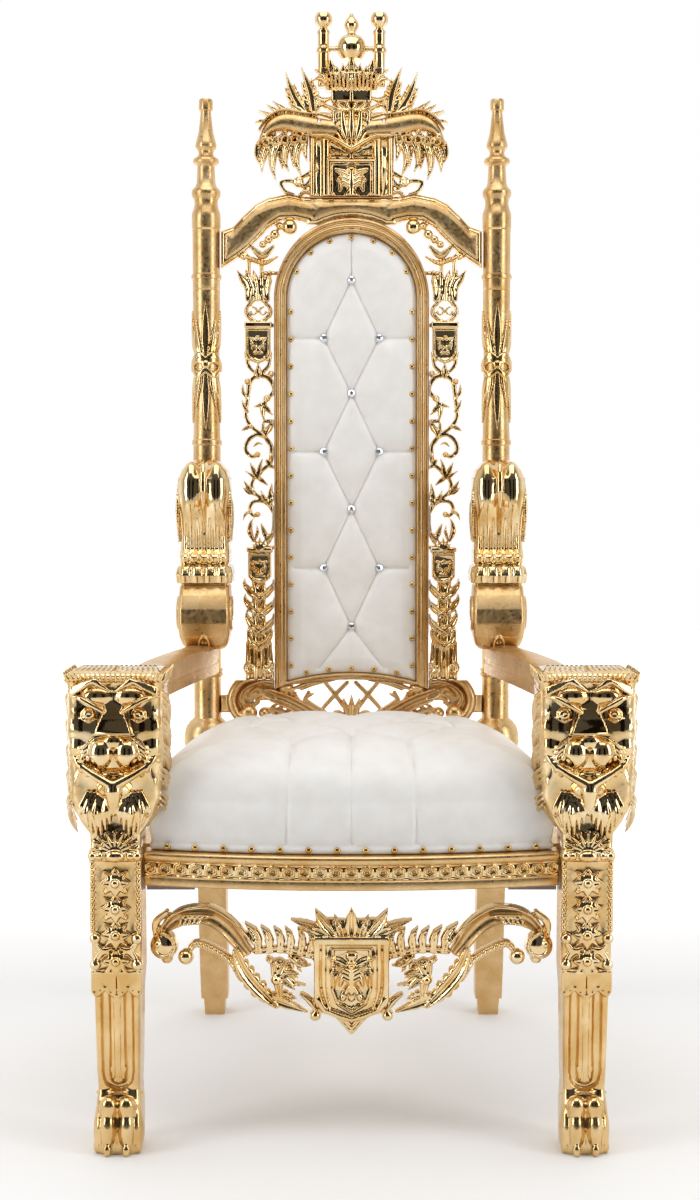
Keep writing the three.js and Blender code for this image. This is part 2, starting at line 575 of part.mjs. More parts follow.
// ---- side friezes, drawn for the right side -----------------------------------------------------
function frieze() {
  const x = FRIEZE_X;
  const h = BOARD;
  const out = x + FRIEZE_HALF; // outer edge
  const inn = x - FRIEZE_HALF; // edge towards the panel
  const shapes = [];
  // stacked pairs of acanthus leaves on a fluted foot
  const foot = [[inn - 5, 206], [out, 206], [out, 232], [out - 12, 290], [x + 5, 394], [x - 11, 394],
    [inn + 6, 290]];
  shapes.push(plate(polygon(foot), h * 0.6));
  for (let k = 0; k < 3; k++) {
    const z = 272 + 38 * k;
    for (const s of [-1, 1]) shapes.push(ridge([[x, z - 14], [x + s * 14, z + 4],
      [x + s * (22 + 2 * k), z + 14]], [7, 13, 3], h, 2));
  }
  for (const d of [-14, 12]) shapes.push(ridge([[x + d, 208], [x + d * 0.5, 262]], [9, 5], h * 0.9, 1));
  shapes.push(shield(x - 3, 438, 21, 58, h * 0.8));
  // crowned bar over the lower shield
  shapes.push(block(x - 25, x + 20, -h * 0.85, 0, 436, 448), spray([x - 3, 440], 45, 135, 3, 24, 9, h));
  // vine: one winding stem with leaf curls left and right
  const stem = [[x - 9, 444], [inn + 1, 480], [inn, 512], [x - 8, 530], [x + 9, 550], [x, 576],
    [inn + 6, 600], [inn + 3, 634],
    [x - 6, 650], [x + 14, 668], [out - 3, 700], [x + 14, 750]];
  shapes.push(ridge(stem, [6, 6], h * 0.8, 11));
  shapes.push(curl(x - 1, 508, 19, 20, 190, 6, h * 0.85),
    ridge([[x + 8, 446], [x + 15, 484]], [9, 4], h, 1));
  shapes.push(curl(x + 2, 622, 20, -10, 235, 7, h * 0.9), curl(x - 8, 728, 18, 190, -240, 7, h * 0.9));
  shapes.push(ridge([[x - 10, 712], [x - 2, 690], [x - 8, 652]], [5, 14, 5], h, 2));
  shapes.push(ridge([[x - 12, 524], [x - 16, 556]], [5, 10], h * 0.9, 1),
    ridge([[x + 6, 546], [x + 20, 562]], [5, 9], h * 0.8, 1));
  shapes.push(ridge([[x - 2, 574], [x + 10, 602]], [5, 11], h, 1),
    ridge([[x + 2, 652], [x + 22, 656]], [8, 5], h * 0.8, 1));
  shapes.push(ridge([[x - 14, 648], [x - 22, 668]], [4, 8], h * 0.8, 1),
    ridge([[x - 18, 594], [inn - 7, 590]], [6, 4], h * 0.8, 1));
  // horns that carry the upper shield
  for (const s of [-1, 1]) shapes.push(ridge([[x + s * 2, 744], [x + s * 18, 758], [x + s * 20, 792]],
    [6, 5, 4], h * 0.8, 2));
  shapes.push(shield(x - 1, 844, 23, 68, h * 0.8), block(x - 25, x + 22, -h * 0.85, 0, 841, 853));
  // open ring of scrolls under the flared leaf capital
  for (const s of [-1, 1]) shapes.push(ridge([[x, 850], [x + s * 19, 866], [x + s * 3, 892]], [4, 5, 4],
    h * 0.8, 4));
  for (const d of [-14, 0, 14]) {
    shapes.push(ridge([[x + d * 0.7, 884], [x + d * 1.6, 944]], [10, 11], h * (1.05 - Math.abs(d) / 60),
      1));
  }
  // stems, bowl, beads and boss that run up into the spandrel
  for (const d of [-3, 22]) shapes.push(block(x + d - 4, x + d + 4, -h * 0.6, 0, 936, 966));
  shapes.push(ridge([[x + 34, 966], [x + 6, 958], [x - 34, 962]], [5, 6, 4], h, 2));
  shapes.push(ridge([[x + 10, 986], [x - 8, 970], [x - 27, 988]], [6, 11, 5], h, 2));
  for (let k = 0; k < 2; k++) shapes.push(ball(x - 20 - 20 * k, -h * 0.4, 990 + 13 * k, 15, h * 0.5, 13, 5,
    3));
  shapes.push(ball(117, -h * 0.5, 1018, 14, h * 0.6, 13, 5, 4));
  // the board meets the panel's frame by short tongues
  const tongues = [222, 446, 672, 846, 938].map((z) => block(120, x - 8, -6, 0, z - 4, z + 4));
  return cut(tidy(join(shapes, tongues), CARVED), frameBlank(), wingBlank(),
    block(90, 240, -60, 60, 160, 206 - GAP));
}
pair(back, "side_frieze", frieze(), POLISHED);

// The room that the crest rail takes, a little larger than the wing.
function wingBlank() {
  const shape = wingShape(GAP);
  return plate(shape, 60, 20, 5);
}

// ---- lower back rail: two large scrolls, crossed straps and a palmette ---------------------------
function lowerBack() {
  const h = 26;
  const side = [
    // big scroll: outer crescent, its two bosses and the small one
    ridge([[184, 140], [206, 140], [217, 172], [200, 202], [160, 214], [116, 200]], [11, 9, 10, 8], h, 7),
    ball(186, -h * 0.5, 143, 17, h * 0.6, 17, 6, 4), ball(119, -h * 0.5, 193, 14, h * 0.6, 14, 6,
      4), ball(158, -h * 0.4, 144, 12, h * 0.6, 12, 5, 3),
    block(216, POST_X - POST_R - GAP, -16, 0, 144, 180),
    plate(polygon([[204, 140], [214, 172], [198, 200], [160, 210], [112, 200], [90, 165], [110, 150],
      [140, 169], [178, 169], [180, 140]]), h * 0.42),
    // leaf filling of the scroll, then the diagonal strap down to the middle
    ridge([[196, 160], [168, 190], [130, 184]], [8, 12, 9], h * 0.7, 3),
    ridge([[150, 178], [104, 160], [40, 124], [-4, 114]], [16, 13, 11, 9], h * 0.85, 4),
    ridge([[154, 146], [120, 148], [92, 128]], [5, 10, 7], h * 0.7, 2),
    // inner leaf strap, crossed bars and volute boss
    ridge([[30, 134], [66, 154], [84, 170], [70, 178]], [5, 7, 7, 4], h * 0.7, 3),
    ridge([[48, 200], [26, 172], [10, 146]], [4, 4, 5], h * 0.5, 2), ridge([[8, 204], [30, 180], [50, 156]],
      [4, 4, 5], h * 0.5, 2),
    ball(27, -h * 0.4, 138, 12, h * 0.6, 12, 5, 3),
    ridge([[104, 186], [70, 198], [0, 214]], [7, 6, 6], h * 0.8, 3),
  ];
  const palmette = [-1, 0,
    1].map((k) => ridge([[0, 118], [k * 12, 172 - 6 * Math.abs(k)]], [6, 9], h * 0.8, 1));
  return cut(tidy(join(both(side), palmette), CARVED), block(-240, 240, -60, 60, 206 - GAP, 330),
    frameRoom());
}

// The band of room under the panel's frame.
function frameRoom() {
  const shape = new THREE.Shape();
  const half = frameHalf + GAP;
  const low = PANEL_LOW - SILL - GAP;
  shape.moveTo(-half, low).quadraticCurveTo(0, low + 2 * PANEL_RISE, half, low).lineTo(half,
    400).lineTo(-half, 400).closePath();
  return plate(shape, 90, 40, 9);
}
piece(back, "lower_back_rail", lowerBack(), SATIN);

// ---- crest: shield on a fluted pilaster, mantling arms, plumes and a crown -----------------------
function crest() {
  const h = 30;
  const side = [
    // mantling arm that sweeps out and curls over, with its flame tips and hanging locks
    ridge([[30, 1194], [84, 1201], [126, 1206], [150, 1190], [158, 1170]], [14, 17, 16, 13, 5], h, 4, 0,
      0.5),
    ridge([[108, 1214], [122, 1228], [142, 1242]], [7, 8, 2], h * 0.6, 2),
    ridge([[134, 1208], [148, 1218], [164, 1226]], [7, 7, 2], h * 0.6, 2),
    ball(155, -h * 0.6, 1178, 12, h * 0.5, 11, 5, 3),
    ...[0, 1, 2, 3].map((k) =>
      ridge([[82 + 22 * k, 1190 - 3 * k], [96 + 21 * k, 1154 + 2 * k],
        [90 + 22 * k, 1110 + 10 * k * (k > 2 ? 1 : 0)]], [8, 14, 3], h * (0.8 - 0.05 * k), 2),
    ),
    // two plumes behind the crown
    ridge([[62, 1216], [74, 1262], [88, 1300]], [10, 13, 3], h * 0.8, 2),
    ridge([[68, 1216], [104, 1256], [112, 1294]], [10, 15, 4], h * 0.7, 3),
    ridge([[30, 1252], [54, 1250], [62, 1262]], [4, 6, 2], h * 0.6, 2),
    ridge([[38, 1276], [56, 1284], [70, 1276]], [6, 7, 3], h * 0.6, 2),
    block(41, 60, -h * 0.75, 0, 1272, 1292.6),
    // fan of leaves below the crown's band
    ridge([[4, 1214], [36, 1238]], [6, 9], h * 1.1, 1),
    ridge([[4, 1212], [60, 1222]], [6, 8], h, 1),
    // hooks and foot volutes beside the pilaster
    ridge([[66, 1104], [86, 1086], [108, 1088], [112, 1106], [98, 1108]], [7, 8, 8, 4], h * 0.7, 4),
    ridge([[64, 1080], [86, 1072], [90, 1052], [76, 1044]], [7, 8, 7], h * 0.7, 3),
    // beaded bars of the pilaster and the slanting cornice over it
    block(62, 76, -h * 0.8, 0, 1042, 1180), block(40, 54, -h * 0.8, 0, 1042, 1180), ball(25, -h * 0.5, 1149,
      6, 10, 9, 5, 3),
    ridge([[78, 1180], [40, 1177], [0, 1157]], [6, 6, 7], h * 1.15, 2, 0, 0.7),
  ];
  const bud = [-1, 0, 1].map((k) => ball(k * 20, -h * 0.75, 1194 - 6 * (k === 0), 15, h * 0.55, 25, 6, 4));
  const band = [
    plate(polygon([[-36, 1243], [36, 1243], [44, 1266], [46, 1284], [0, 1296], [-46, 1284], [-44, 1266]]),
      h * 1.15),
    ...[-2, -1, 0, 1, 2].map((k) => ridge([[k * 13, 1270], [k * 17, 1310 + (k === 0 ? 6 : 0)]], [9, 8],
      h * 1.2, 1)),
  ];
  const panel = join(block(-76, 76, -h * 0.5, 0, 1042, 1184), block(-18, 18, -h * 0.8, 0, 1150, 1190));
  const neck = block(-34, 34, -h * 0.55, 0, 1170, 1250);
  return tidy(join(both(side), bud, band, panel, neck, shield(0, 1140, 43, 88, h)), CARVED);
}
const crestRoom = block(-120, 120, -12 - GAP, 30, 1000, 1074 + GAP);
piece(back, "crest", tidy(cut(crest(), join(wingBlank(), mirrored(wingBlank()), crestRoom), frameBlank()),
  0.5), POLISHED);

// ---- little gallery on top: two ringed columns with balls, and a dome with a bud ------------------
const column = [[0, 1293], [11, 1293], [11, 1330], [13, 1335], [10, 1340], [10, 1366], [7, 1374],
  [14, 1380], [16, 1389], [9, 1400], [0, 1402]];
pair(back, "turret", turned(column, 7).translate(50, -12, 0), SATIN);
const dome = [[0, 1318], [18, 1319], [26, 1336], [20, 1356], [9, 1364], [12, 1378], [5, 1394], [0, 1401]];
piece(back, "gallery_dome", join(turned(dome, 8).translate(0, -12, 0), block(-36, 36, -18, -6, 1332, 1342)),
  POLISHED);

// ---- front apron ----------------------------------------------------------------------------
function apron() {
  const h = 24;
  const side = [
    // end volute with its stem, and the satin crescent that springs from it
    ball(281, -h * 0.5, 303, 21, h * 0.6, 21, 7, 4),
    ridge([[286, 312], [290, 332], [276, 354]], [8, 8, 6], h * 0.7, 2),
    ridge([[284, 316], [262, 342], [226, 354], [190, 334], [156, 296]], [8, 14, 15, 15, 10], h, 5, 0, 0.5),
    // beaded lower band with its small boss
    ridge([[248, 292], [226, 306], [196, 296], [168, 262]], [6, 8, 8, 8], h * 0.6, 4),
    ball(247, -h * 0.4, 289, 13, h * 0.5, 12, 5, 3),
    // feathered lobes that run up to the shield on their rail
    ridge([[144, 298], [100, 300], [54, 290]], [6, 7, 8], h * 0.9, 3),
    ...[0, 1, 2, 3].map((k) => ridge([[142 - 22 * k, 302 - 2 * k], [150 - 24 * k, 322 - 1.5 * k],
      [158 - 25 * k, 336 - 2 * k]], [7, 12, 6], h * 0.85, 2)),
    // great leaf, shell cluster and the lower scrolls
    ridge([[168, 300], [146, 250], [106, 220]], [12, 24, 8], h, 3),
    ridge([[140, 280], [118, 244], [84, 230]], [6, 14, 8], h * 1.2, 2),
    ridge([[122, 284], [100, 262], [76, 262]], [8, 13, 8], h, 2),
    ridge([[92, 286], [76, 272], [58, 276]], [5, 8, 5], h * 0.8, 2),
    ridge([[110, 226], [84, 222], [66, 210], [52, 200]], [12, 13, 9, 8], h * 0.8, 3),
    ridge([[86, 250], [66, 244], [52, 250]], [6, 8, 5], h * 0.7, 2),
    ridge([[60, 200], [36, 210], [20, 196], [0, 178]], [7, 6, 8, 7], h * 0.9, 4),
  ];
  const crown = [
    plate(polygon([[-42, 318], [42, 318], [58, 336], [40, 346], [-40, 346], [-58, 336]]), h * 0.8),
    ...both(
      ridge([[36, 326], [64, 338], [90, 344]], [6, 9, 5], h * 0.9, 2),
      ridge([[30, 326], [46, 360]], [9, 13], h, 1),
    ),
    ridge([[0, 322], [0, 362]], [8, 16], h * 1.1, 1),
  ];
  return tidy(join(both(side), crown, shield(0, 326, 56, 136, h * 1.1)), CARVED);
}
const apronEnd = LEG_X - LEG_WIDTH / 2 - 1;
const apronSolid = cut(apron(), block(apronEnd, 400, -60, 60, 100, 400),
  block(-400, -apronEnd, -60, 60, 100, 400));
const carvedApron = new THREE.Group();
carvedApron.position.set(0, LEG_Y, 0);
throne.add(carvedApron);
piece(carvedApron, "front_apron", apronSolid, POLISHED);

export default throne;
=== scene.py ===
import math
import bpy
import numpy as np
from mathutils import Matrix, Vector


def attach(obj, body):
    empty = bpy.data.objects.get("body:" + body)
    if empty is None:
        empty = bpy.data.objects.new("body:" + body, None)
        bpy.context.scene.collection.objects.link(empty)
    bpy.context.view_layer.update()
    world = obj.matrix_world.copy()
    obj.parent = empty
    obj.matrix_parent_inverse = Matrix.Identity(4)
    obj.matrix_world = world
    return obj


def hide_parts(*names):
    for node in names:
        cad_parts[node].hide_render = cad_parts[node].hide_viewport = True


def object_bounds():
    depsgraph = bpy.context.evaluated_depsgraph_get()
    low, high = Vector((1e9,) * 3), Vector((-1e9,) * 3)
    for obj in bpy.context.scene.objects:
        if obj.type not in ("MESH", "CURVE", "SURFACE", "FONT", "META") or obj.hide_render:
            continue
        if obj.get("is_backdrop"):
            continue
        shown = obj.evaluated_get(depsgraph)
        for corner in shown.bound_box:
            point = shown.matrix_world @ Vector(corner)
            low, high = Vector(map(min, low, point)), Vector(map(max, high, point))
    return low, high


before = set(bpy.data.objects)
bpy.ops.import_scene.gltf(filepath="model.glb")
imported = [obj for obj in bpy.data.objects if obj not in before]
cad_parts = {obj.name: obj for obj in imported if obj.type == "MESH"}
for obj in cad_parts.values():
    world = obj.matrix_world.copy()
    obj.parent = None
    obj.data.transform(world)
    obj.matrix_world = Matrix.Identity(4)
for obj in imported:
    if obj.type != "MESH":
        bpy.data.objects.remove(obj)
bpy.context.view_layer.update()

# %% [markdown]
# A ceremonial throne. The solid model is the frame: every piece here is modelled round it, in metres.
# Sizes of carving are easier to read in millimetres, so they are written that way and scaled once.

MM = 0.001
SIDES = ((1, "right"), (-1, "left"))     # +x is the right side of the model
bpy.ops.object.select_all(action="DESELECT")

# %% [markdown]
# The back of the chair leans by two degrees. Its boards are drawn upright, with x across and z up
# the board, and then leaned. depth is counted forward from the plane where the boards' backs lie.

# %% The leaning back
LEAN = math.radians(2)
BACK_Y, BACK_Z = 290, 430    # where that plane crosses the height of the seat


def lean(x, depth, z):
    """A point of the upright back, in mm, as a point of the chair in metres."""
    y = BACK_Y - depth * math.cos(LEAN) + z * math.sin(LEAN)
    up = BACK_Z + depth * math.sin(LEAN) + z * math.cos(LEAN)
    return np.stack(np.broadcast_arrays(x, y, up), axis=-1) * MM


print("the top of the posts is at", lean(262, 0, 1250).round(3))

# %% [markdown]
# Camera: a long lens about three metres away, just above the arms, looking slightly down.

# %% Camera
bpy.ops.object.camera_add(location=(0, -2.995, 0.994), rotation=(math.radians(85.5), 0, 0))
camera = bpy.context.object
camera.data.lens = 54.47
camera.data.shift_x = -0.00125
camera.data.shift_y = 0.0208
bpy.context.scene.camera = camera
print("camera lens", round(camera.data.lens, 1), "mm")

# %% [markdown]
# Materials. One function turns a written colour to the linear numbers that shaders need, and one
# adds a node. Each material starts from what the real one is.

# %% Helpers for materials


def colour(code):
    """An sRGB hex colour as linear RGBA."""
    channels = [int(code[i : i + 2], 16) / 255 for i in (1, 3, 5)]
    linear = [c / 12.92 if c <= 0.04045 else ((c + 0.055) / 1.055) ** 2.4 for c in channels]
    return (*linear, 1)


def add_node(tree, kind, links=(), **settings):
    """Adds a node, sets its properties and inputs, and links (input, output) pairs into it."""
    made = tree.nodes.new(kind)
    for name, value in settings.items():
        if hasattr(made, name):
            setattr(made, name, value)
        else:
            made.inputs[name.replace("_", " ")].default_value = value
    for socket, source in links:
        tree.links.new(source, made.inputs[socket])
    return made


def new_material(name):
    """An empty node material with its shader and the piece's own coordinates."""
    made = bpy.data.materials.new(name)
    made.use_nodes = True
    tree = made.node_tree
    shader = tree.nodes["Principled BSDF"]
    place = add_node(tree, "ShaderNodeTexCoord").outputs["Object"]
    return made, tree, shader, place


def set_inputs(shader, **values):
    for name, value in values.items():
        shader.inputs[name.replace("_", " ")].default_value = value


print("helpers ready for colours, nodes and materials")

# %% [markdown]
# Polished gold paint over carved mahogany: a mirror-like metal leaf under lacquer. Brushed on by
# hand, it ripples over some 8 mm, and its colour runs from pale to deep gold.

# %% Polished gold


def gold(name, pale, deep, rough, ripple, ripple_mm):
    made, tree, shader, place = new_material(name)
    cloud = add_node(tree, "ShaderNodeTexNoise", [("Vector", place)], Scale=1 / (40 * MM), Detail=3)
    ramp = add_node(tree, "ShaderNodeValToRGB", [("Fac", cloud.outputs["Fac"])])
    ramp.color_ramp.elements[0].position = 0.3
    ramp.color_ramp.elements[0].color = colour(deep)
    ramp.color_ramp.elements[1].position = 0.7
    ramp.color_ramp.elements[1].color = colour(pale)
    tree.links.new(ramp.outputs["Color"], shader.inputs["Base Color"])
    fine = add_node(tree, "ShaderNodeTexNoise", [("Vector", place)], Scale=1 / (6 * MM), Detail=4)
    gloss = add_node(
        tree, "ShaderNodeMapRange", [("Value", fine.outputs["Fac"])],
        From_Min=0.3, From_Max=0.7, To_Min=rough * 0.7, To_Max=rough * 1.35,
    )
    tree.links.new(gloss.outputs["Result"], shader.inputs["Roughness"])
    wave = add_node(tree, "ShaderNodeTexNoise", [("Vector", place)], Scale=1 / (ripple_mm * MM), Detail=2)
    bump = add_node(
        tree, "ShaderNodeBump", [("Height", wave.outputs["Fac"])], Strength=1.0, Distance=ripple * MM,
    )
    tree.links.new(bump.outputs["Normal"], shader.inputs["Normal"])
    set_inputs(shader, Metallic=1.0)
    return made


polished = gold("polished gold leaf", "#F3DCB0", "#DDB778", 0.1, 0.14, 9)
print("made", polished.name)

# %% [markdown]
# Satin gold: the same paint left unpolished on the posts, rails and frame.

# %% Satin gold
satin = gold("satin gold paint", "#E6C592", "#D3AA6E", 0.34, 0.06, 5)
burnished = gold("burnished gold paint", "#EDCF9A", "#D6AC6A", 0.2, 0.1, 7)
print("made", satin.name, "and", burnished.name)

# %% [markdown]
# The nails are brass with a bright lacquered head, paler than the paint round them.

# %% Brass nails
brass = gold("lacquered brass", "#E0C07E", "#BE9650", 0.2, 0.05, 3)
print("made", brass.name)

# %% [markdown]
# White imitation leather: a PVC film on cloth. It has a fine pebbled grain, a soft shine, and
# takes a faint warm shade. The real grain of 0.5 mm is drawn at 1.2 mm so that it shows.

# %% White imitation leather
leather, tree, shader, place = new_material("white imitation leather")
pebble = add_node(tree, "ShaderNodeTexVoronoi", [("Vector", place)], Scale=1 / (1.2 * MM))
crease = add_node(tree, "ShaderNodeTexNoise", [("Vector", place)], Scale=1 / (30 * MM), Detail=5)
both = add_node(
    tree, "ShaderNodeMath", [(0, pebble.outputs["Distance"]), (1, crease.outputs["Fac"])], operation="ADD",
)
bump = add_node(tree, "ShaderNodeBump", [("Height", both.outputs[0])], Strength=0.35, Distance=0.12 * MM)
tree.links.new(bump.outputs["Normal"], shader.inputs["Normal"])
tone = add_node(tree, "ShaderNodeValToRGB", [("Fac", crease.outputs["Fac"])])
tone.color_ramp.elements[0].position, tone.color_ramp.elements[1].position = 0.3, 0.7
tone.color_ramp.elements[0].color = colour("#F1EEE9")
tone.color_ramp.elements[1].color = colour("#F8F6F3")
tree.links.new(tone.outputs["Color"], shader.inputs["Base Color"])
rough = add_node(
    tree, "ShaderNodeMapRange", [("Value", crease.outputs["Fac"])],
    From_Min=0.3, From_Max=0.7, To_Min=0.36, To_Max=0.46,
)
tree.links.new(rough.outputs["Result"], shader.inputs["Roughness"])
set_inputs(shader, Sheen_Weight=0.1, IOR=1.5)
print("made", leather.name)

# %% [markdown]
# Cut crystal of the buttons: clear glass over a silvered back, so it flashes rather than shows
# what is behind it. A mirror-like base under a clear coat gives that in a thin stone.

# %% Crystal
crystal, tree, shader, place = new_material("silvered cut crystal")
cloud = add_node(tree, "ShaderNodeTexNoise", [("Vector", place)], Scale=1 / (3 * MM), Detail=1)
tone = add_node(tree, "ShaderNodeValToRGB", [("Fac", cloud.outputs["Fac"])])
tone.color_ramp.elements[0].color = colour("#C9CED6")
tone.color_ramp.elements[1].color = colour("#F4F6FA")
tree.links.new(tone.outputs["Color"], shader.inputs["Base Color"])
set_inputs(shader, Metallic=0.85, Roughness=0.04, Coat_Weight=1.0)
print("made", crystal.name)

# %% [markdown]
# The corner boards under the seat are plywood with a thin grey paint, dull and a little streaky.

# %% Grey painted board
grey_board, tree, shader, place = new_material("grey painted plywood")
stretch = add_node(tree, "ShaderNodeMapping", [("Vector", place)], Scale=(1, 8, 1))
streak = add_node(tree, "ShaderNodeTexNoise", [("Vector", stretch.outputs[0])], Scale=1 / (20 * MM),
    Detail=5)
tone = add_node(tree, "ShaderNodeValToRGB", [("Fac", streak.outputs["Fac"])])
tone.color_ramp.elements[0].color = colour("#8F8A93")
tone.color_ramp.elements[1].color = colour("#B9B3BB")
tree.links.new(tone.outputs["Color"], shader.inputs["Base Color"])
bump = add_node(tree, "ShaderNodeBump", [("Height", streak.outputs["Fac"])], Strength=0.4,
    Distance=0.3 * MM)
tree.links.new(bump.outputs["Normal"], shader.inputs["Normal"])
set_inputs(shader, Roughness=0.75)
print("made", grey_board.name)

# %% [markdown]
# The carving is deep relief on boards, pierced right through between its strokes. Box modelling
# can't give scrolls and leaves that merge, so each board is drawn as a map: at every point of a
# fine grid, how far the wood rises from the board's back, and how far inside the cut outline the
# point lies. A carver works the same way: outline first, then the height of each stroke.

# %% The board as a grid
CELL = 1.5     # grid step of the carving, in mm
OUTSIDE = -9   # how far outside the wood an untouched point counts


def blank(x0, x1, z0, z1, cell=CELL):
    """An uncarved board: maps over x and z that the strokes fill."""
    x, z = np.meshgrid(np.arange(x0, x1 + cell, cell), np.arange(z0, z1 + cell, cell), indexing="ij")
    return {"x": x, "z": z, "cell": cell, "edge": np.full(x.shape, float(OUTSIDE)),
            "rise": np.full(x.shape, -99.0), "finish": np.zeros(x.shape, int)}


def lay(board, window, inside, rise, finish):
    """Adds a shape to the board; where shapes meet, the higher one shows."""
    rise = rise + 3 * np.minimum(inside, 0)
    top = (inside > OUTSIDE / 2) & (rise > board["rise"][window])
    board["rise"][window][top] = rise[top]
    board["finish"][window][top & (inside > -board["cell"])] = finish
    board["edge"][window] = np.maximum(board["edge"][window], inside)


print("boards are drawn in cells of", CELL, "mm")

# %% [markdown]
# Every stroke follows a smooth path through a few points. follow() finds for each grid point the
# nearest place on the path, so a stroke knows how far along and how far across it each point is.

# %% Strokes


def smooth(points, spacing=1.2):
    """Evenly spaced places on a curve through the points, and its length."""
    p = np.array(points, float)
    ends = np.vstack([2 * p[0] - p[1], p, 2 * p[-1] - p[-2]])
    t = np.linspace(0, 1, 12, endpoint=False)[:, None]
    bends = [
        b + 0.5 * ((c - a) * t + (2 * a - 5 * b + 4 * c - d) * t**2 + (3 * b - a - 3 * c + d) * t**3)
        for a, b, c, d in zip(ends, ends[1:], ends[2:], ends[3:])
    ]
    path = np.vstack([*bends, p[-1:]])
    run = np.concatenate([[0], np.cumsum(np.linalg.norm(np.diff(path, axis=0), axis=1))])
    stops = np.linspace(0, run[-1], max(4, int(run[-1] / spacing)))
    return np.column_stack([np.interp(stops, run, path[:, k]) for k in (0, 1)]), run[-1]


def follow(board, points, widths):
    """The part of the board near a path: how far along it, across it and inside it each point is."""
    path, length = smooth(points)
    share = np.linspace(0, 1, len(path))

    def half_at(s):
        return np.interp(s, np.linspace(0, 1, len(widths)), np.array(widths, float) / 2)

    reach = max(widths) / 2 + 6
    low = (path.min(0) - reach - (board["x"][0, 0], board["z"][0, 0])) // board["cell"]
    high = (path.max(0) + reach - (board["x"][0, 0], board["z"][0, 0])) // board["cell"] + 1
    window = tuple(slice(max(0, int(a)), max(0, int(b))) for a, b in zip(low, high))
    x, z = board["x"][window], board["z"][window]
    nearest = ((x[..., None] - path[:, 0]) ** 2 + (z[..., None] - path[:, 1]) ** 2).argmin(-1)
    way = np.gradient(path, axis=0)
    way /= np.linalg.norm(way, axis=1)[:, None]
    dx, dz = x - path[nearest, 0], z - path[nearest, 1]
    on = dx * way[nearest, 0] + dz * way[nearest, 1]
    across = dz * way[nearest, 0] - dx * way[nearest, 1]
    past = np.where(nearest == 0, np.maximum(-on, 0),
        np.where(nearest == len(path) - 1, np.maximum(on, 0), 0))
    along = np.clip(share[nearest] + on / length, 0, 1)
    half = half_at(along)
    return window, along, across / np.maximum(half, 0.5), half - np.hypot(across, past), half


def carve(board, points, widths, height, wall=0.5, groove=0, ribs=0, lobes=0, rim=0, finish=0):
    """A rounded stroke. groove sinks its middle, rim raises its borders, ribs cross it, lobes
    scallop its outline; height may rise and fall along it."""
    window, along, across, inside, half = follow(board, points, widths)
    if lobes:
        inside = inside - 0.3 * half * np.abs(np.cos(np.pi * lobes * along)) ** 3
    tall = np.interp(along, np.linspace(0, 1, np.size(height)), np.atleast_1d(height))
    round_off = np.sqrt(np.clip(1 - across**2, 0, 1))
    share = wall + (1 - wall) * round_off - groove * np.exp(-((across / 0.35) ** 2))
    if rim:
        share = 1 - rim * np.clip(1 - across**2 * 1.6, 0, 1)
    if ribs:
        share = share - 0.22 * np.sin(np.pi * ribs * along) ** 2
    lay(board, window, inside, tall * share, finish)


print("strokes can be ribbed, grooved, lobed or rimmed")

# %% [markdown]
# Other shapes of the carver: a round boss, a flat slab with a chamfered outline, a hollow and a
# hole. Leaves are fans of tapering strokes, and a volute is a stroke that winds in to its boss.

# %% Bosses, slabs, leaves and volutes
ALL = (slice(None), slice(None))


def boss(board, x, z, radius, height, flat=0.45, stretch=1.0, finish=0):
    off = np.hypot(board["x"] - x, (board["z"] - z) / stretch)
    dome = np.sqrt(np.clip(1 - (off / radius) ** 2, 0, 1))
    lay(board, ALL, radius - off, height * (flat + (1 - flat) * dome), finish)


def inside_outline(board, corners):
    """Distance inside a closed outline, below zero outside it."""
    x, z = board["x"], board["z"]
    best = np.full(x.shape, 1e9)
    odd = np.zeros(x.shape, bool)
    for (ax, az), (bx, bz) in zip(corners, corners[1:] + corners[:1]):
        vx, vz = bx - ax, bz - az
        t = np.clip(((x - ax) * vx + (z - az) * vz) / (vx * vx + vz * vz), 0, 1)
        best = np.minimum(best, np.hypot(x - ax - t * vx, z - az - t * vz))
        crosses = (az > z) != (bz > z)
        odd ^= crosses & (x < ax + (z - az) * vx / (vz if vz else 1))
    return np.where(odd, best, -best)


def slab(board, corners, height, chamfer=2.0, finish=0):
    inside = inside_outline(board, corners)
    lay(board, ALL, inside, height - np.maximum(0, chamfer - inside) * 0.8, finish)


def bar(board, x0, x1, z0, z1, height, chamfer=2.0, finish=0):
    slab(board, [(x0, z0), (x1, z0), (x1, z1), (x0, z1)], height, chamfer, finish)


def sink(board, inside, depth, bevel=2.0):
    """Hollows the wood wherever inside is above zero."""
    board["rise"] -= depth * np.clip(inside / bevel, 0, 1)


def pierce(board, x, z, rx, rz=None):
    rz = rz or rx
    off = np.hypot((board["x"] - x) / rx, (board["z"] - z) / rz)
    board["edge"] = np.minimum(board["edge"], (off - 1) * min(rx, rz))


print("bosses, slabs, bars, sunk fields and holes can be laid")

# %% [markdown]
# Leaves, scrolls and fans repeat all over the chair, so each is a function of its own that lays
# several strokes from one root.

# %% Leaves and volutes


def fan(board, root, start, stop, count, length, width, height, **look):
    """Leaf fingers from one root, between two directions in degrees; the middle ones are longest."""
    for k in range(count):
        share = k / max(1, count - 1)
        angle = math.radians(start + (stop - start) * share)
        reach = length * (0.75 + 0.25 * math.sin(math.pi * share))
        tip = [root[0] + reach * math.cos(angle), root[1] + reach * math.sin(angle)]
        middle = [(root[i] + tip[i]) / 2 for i in (0, 1)]
        carve(board, [root, middle, tip], [width * 0.45, width, width * 0.75, 1.5], height, **look)


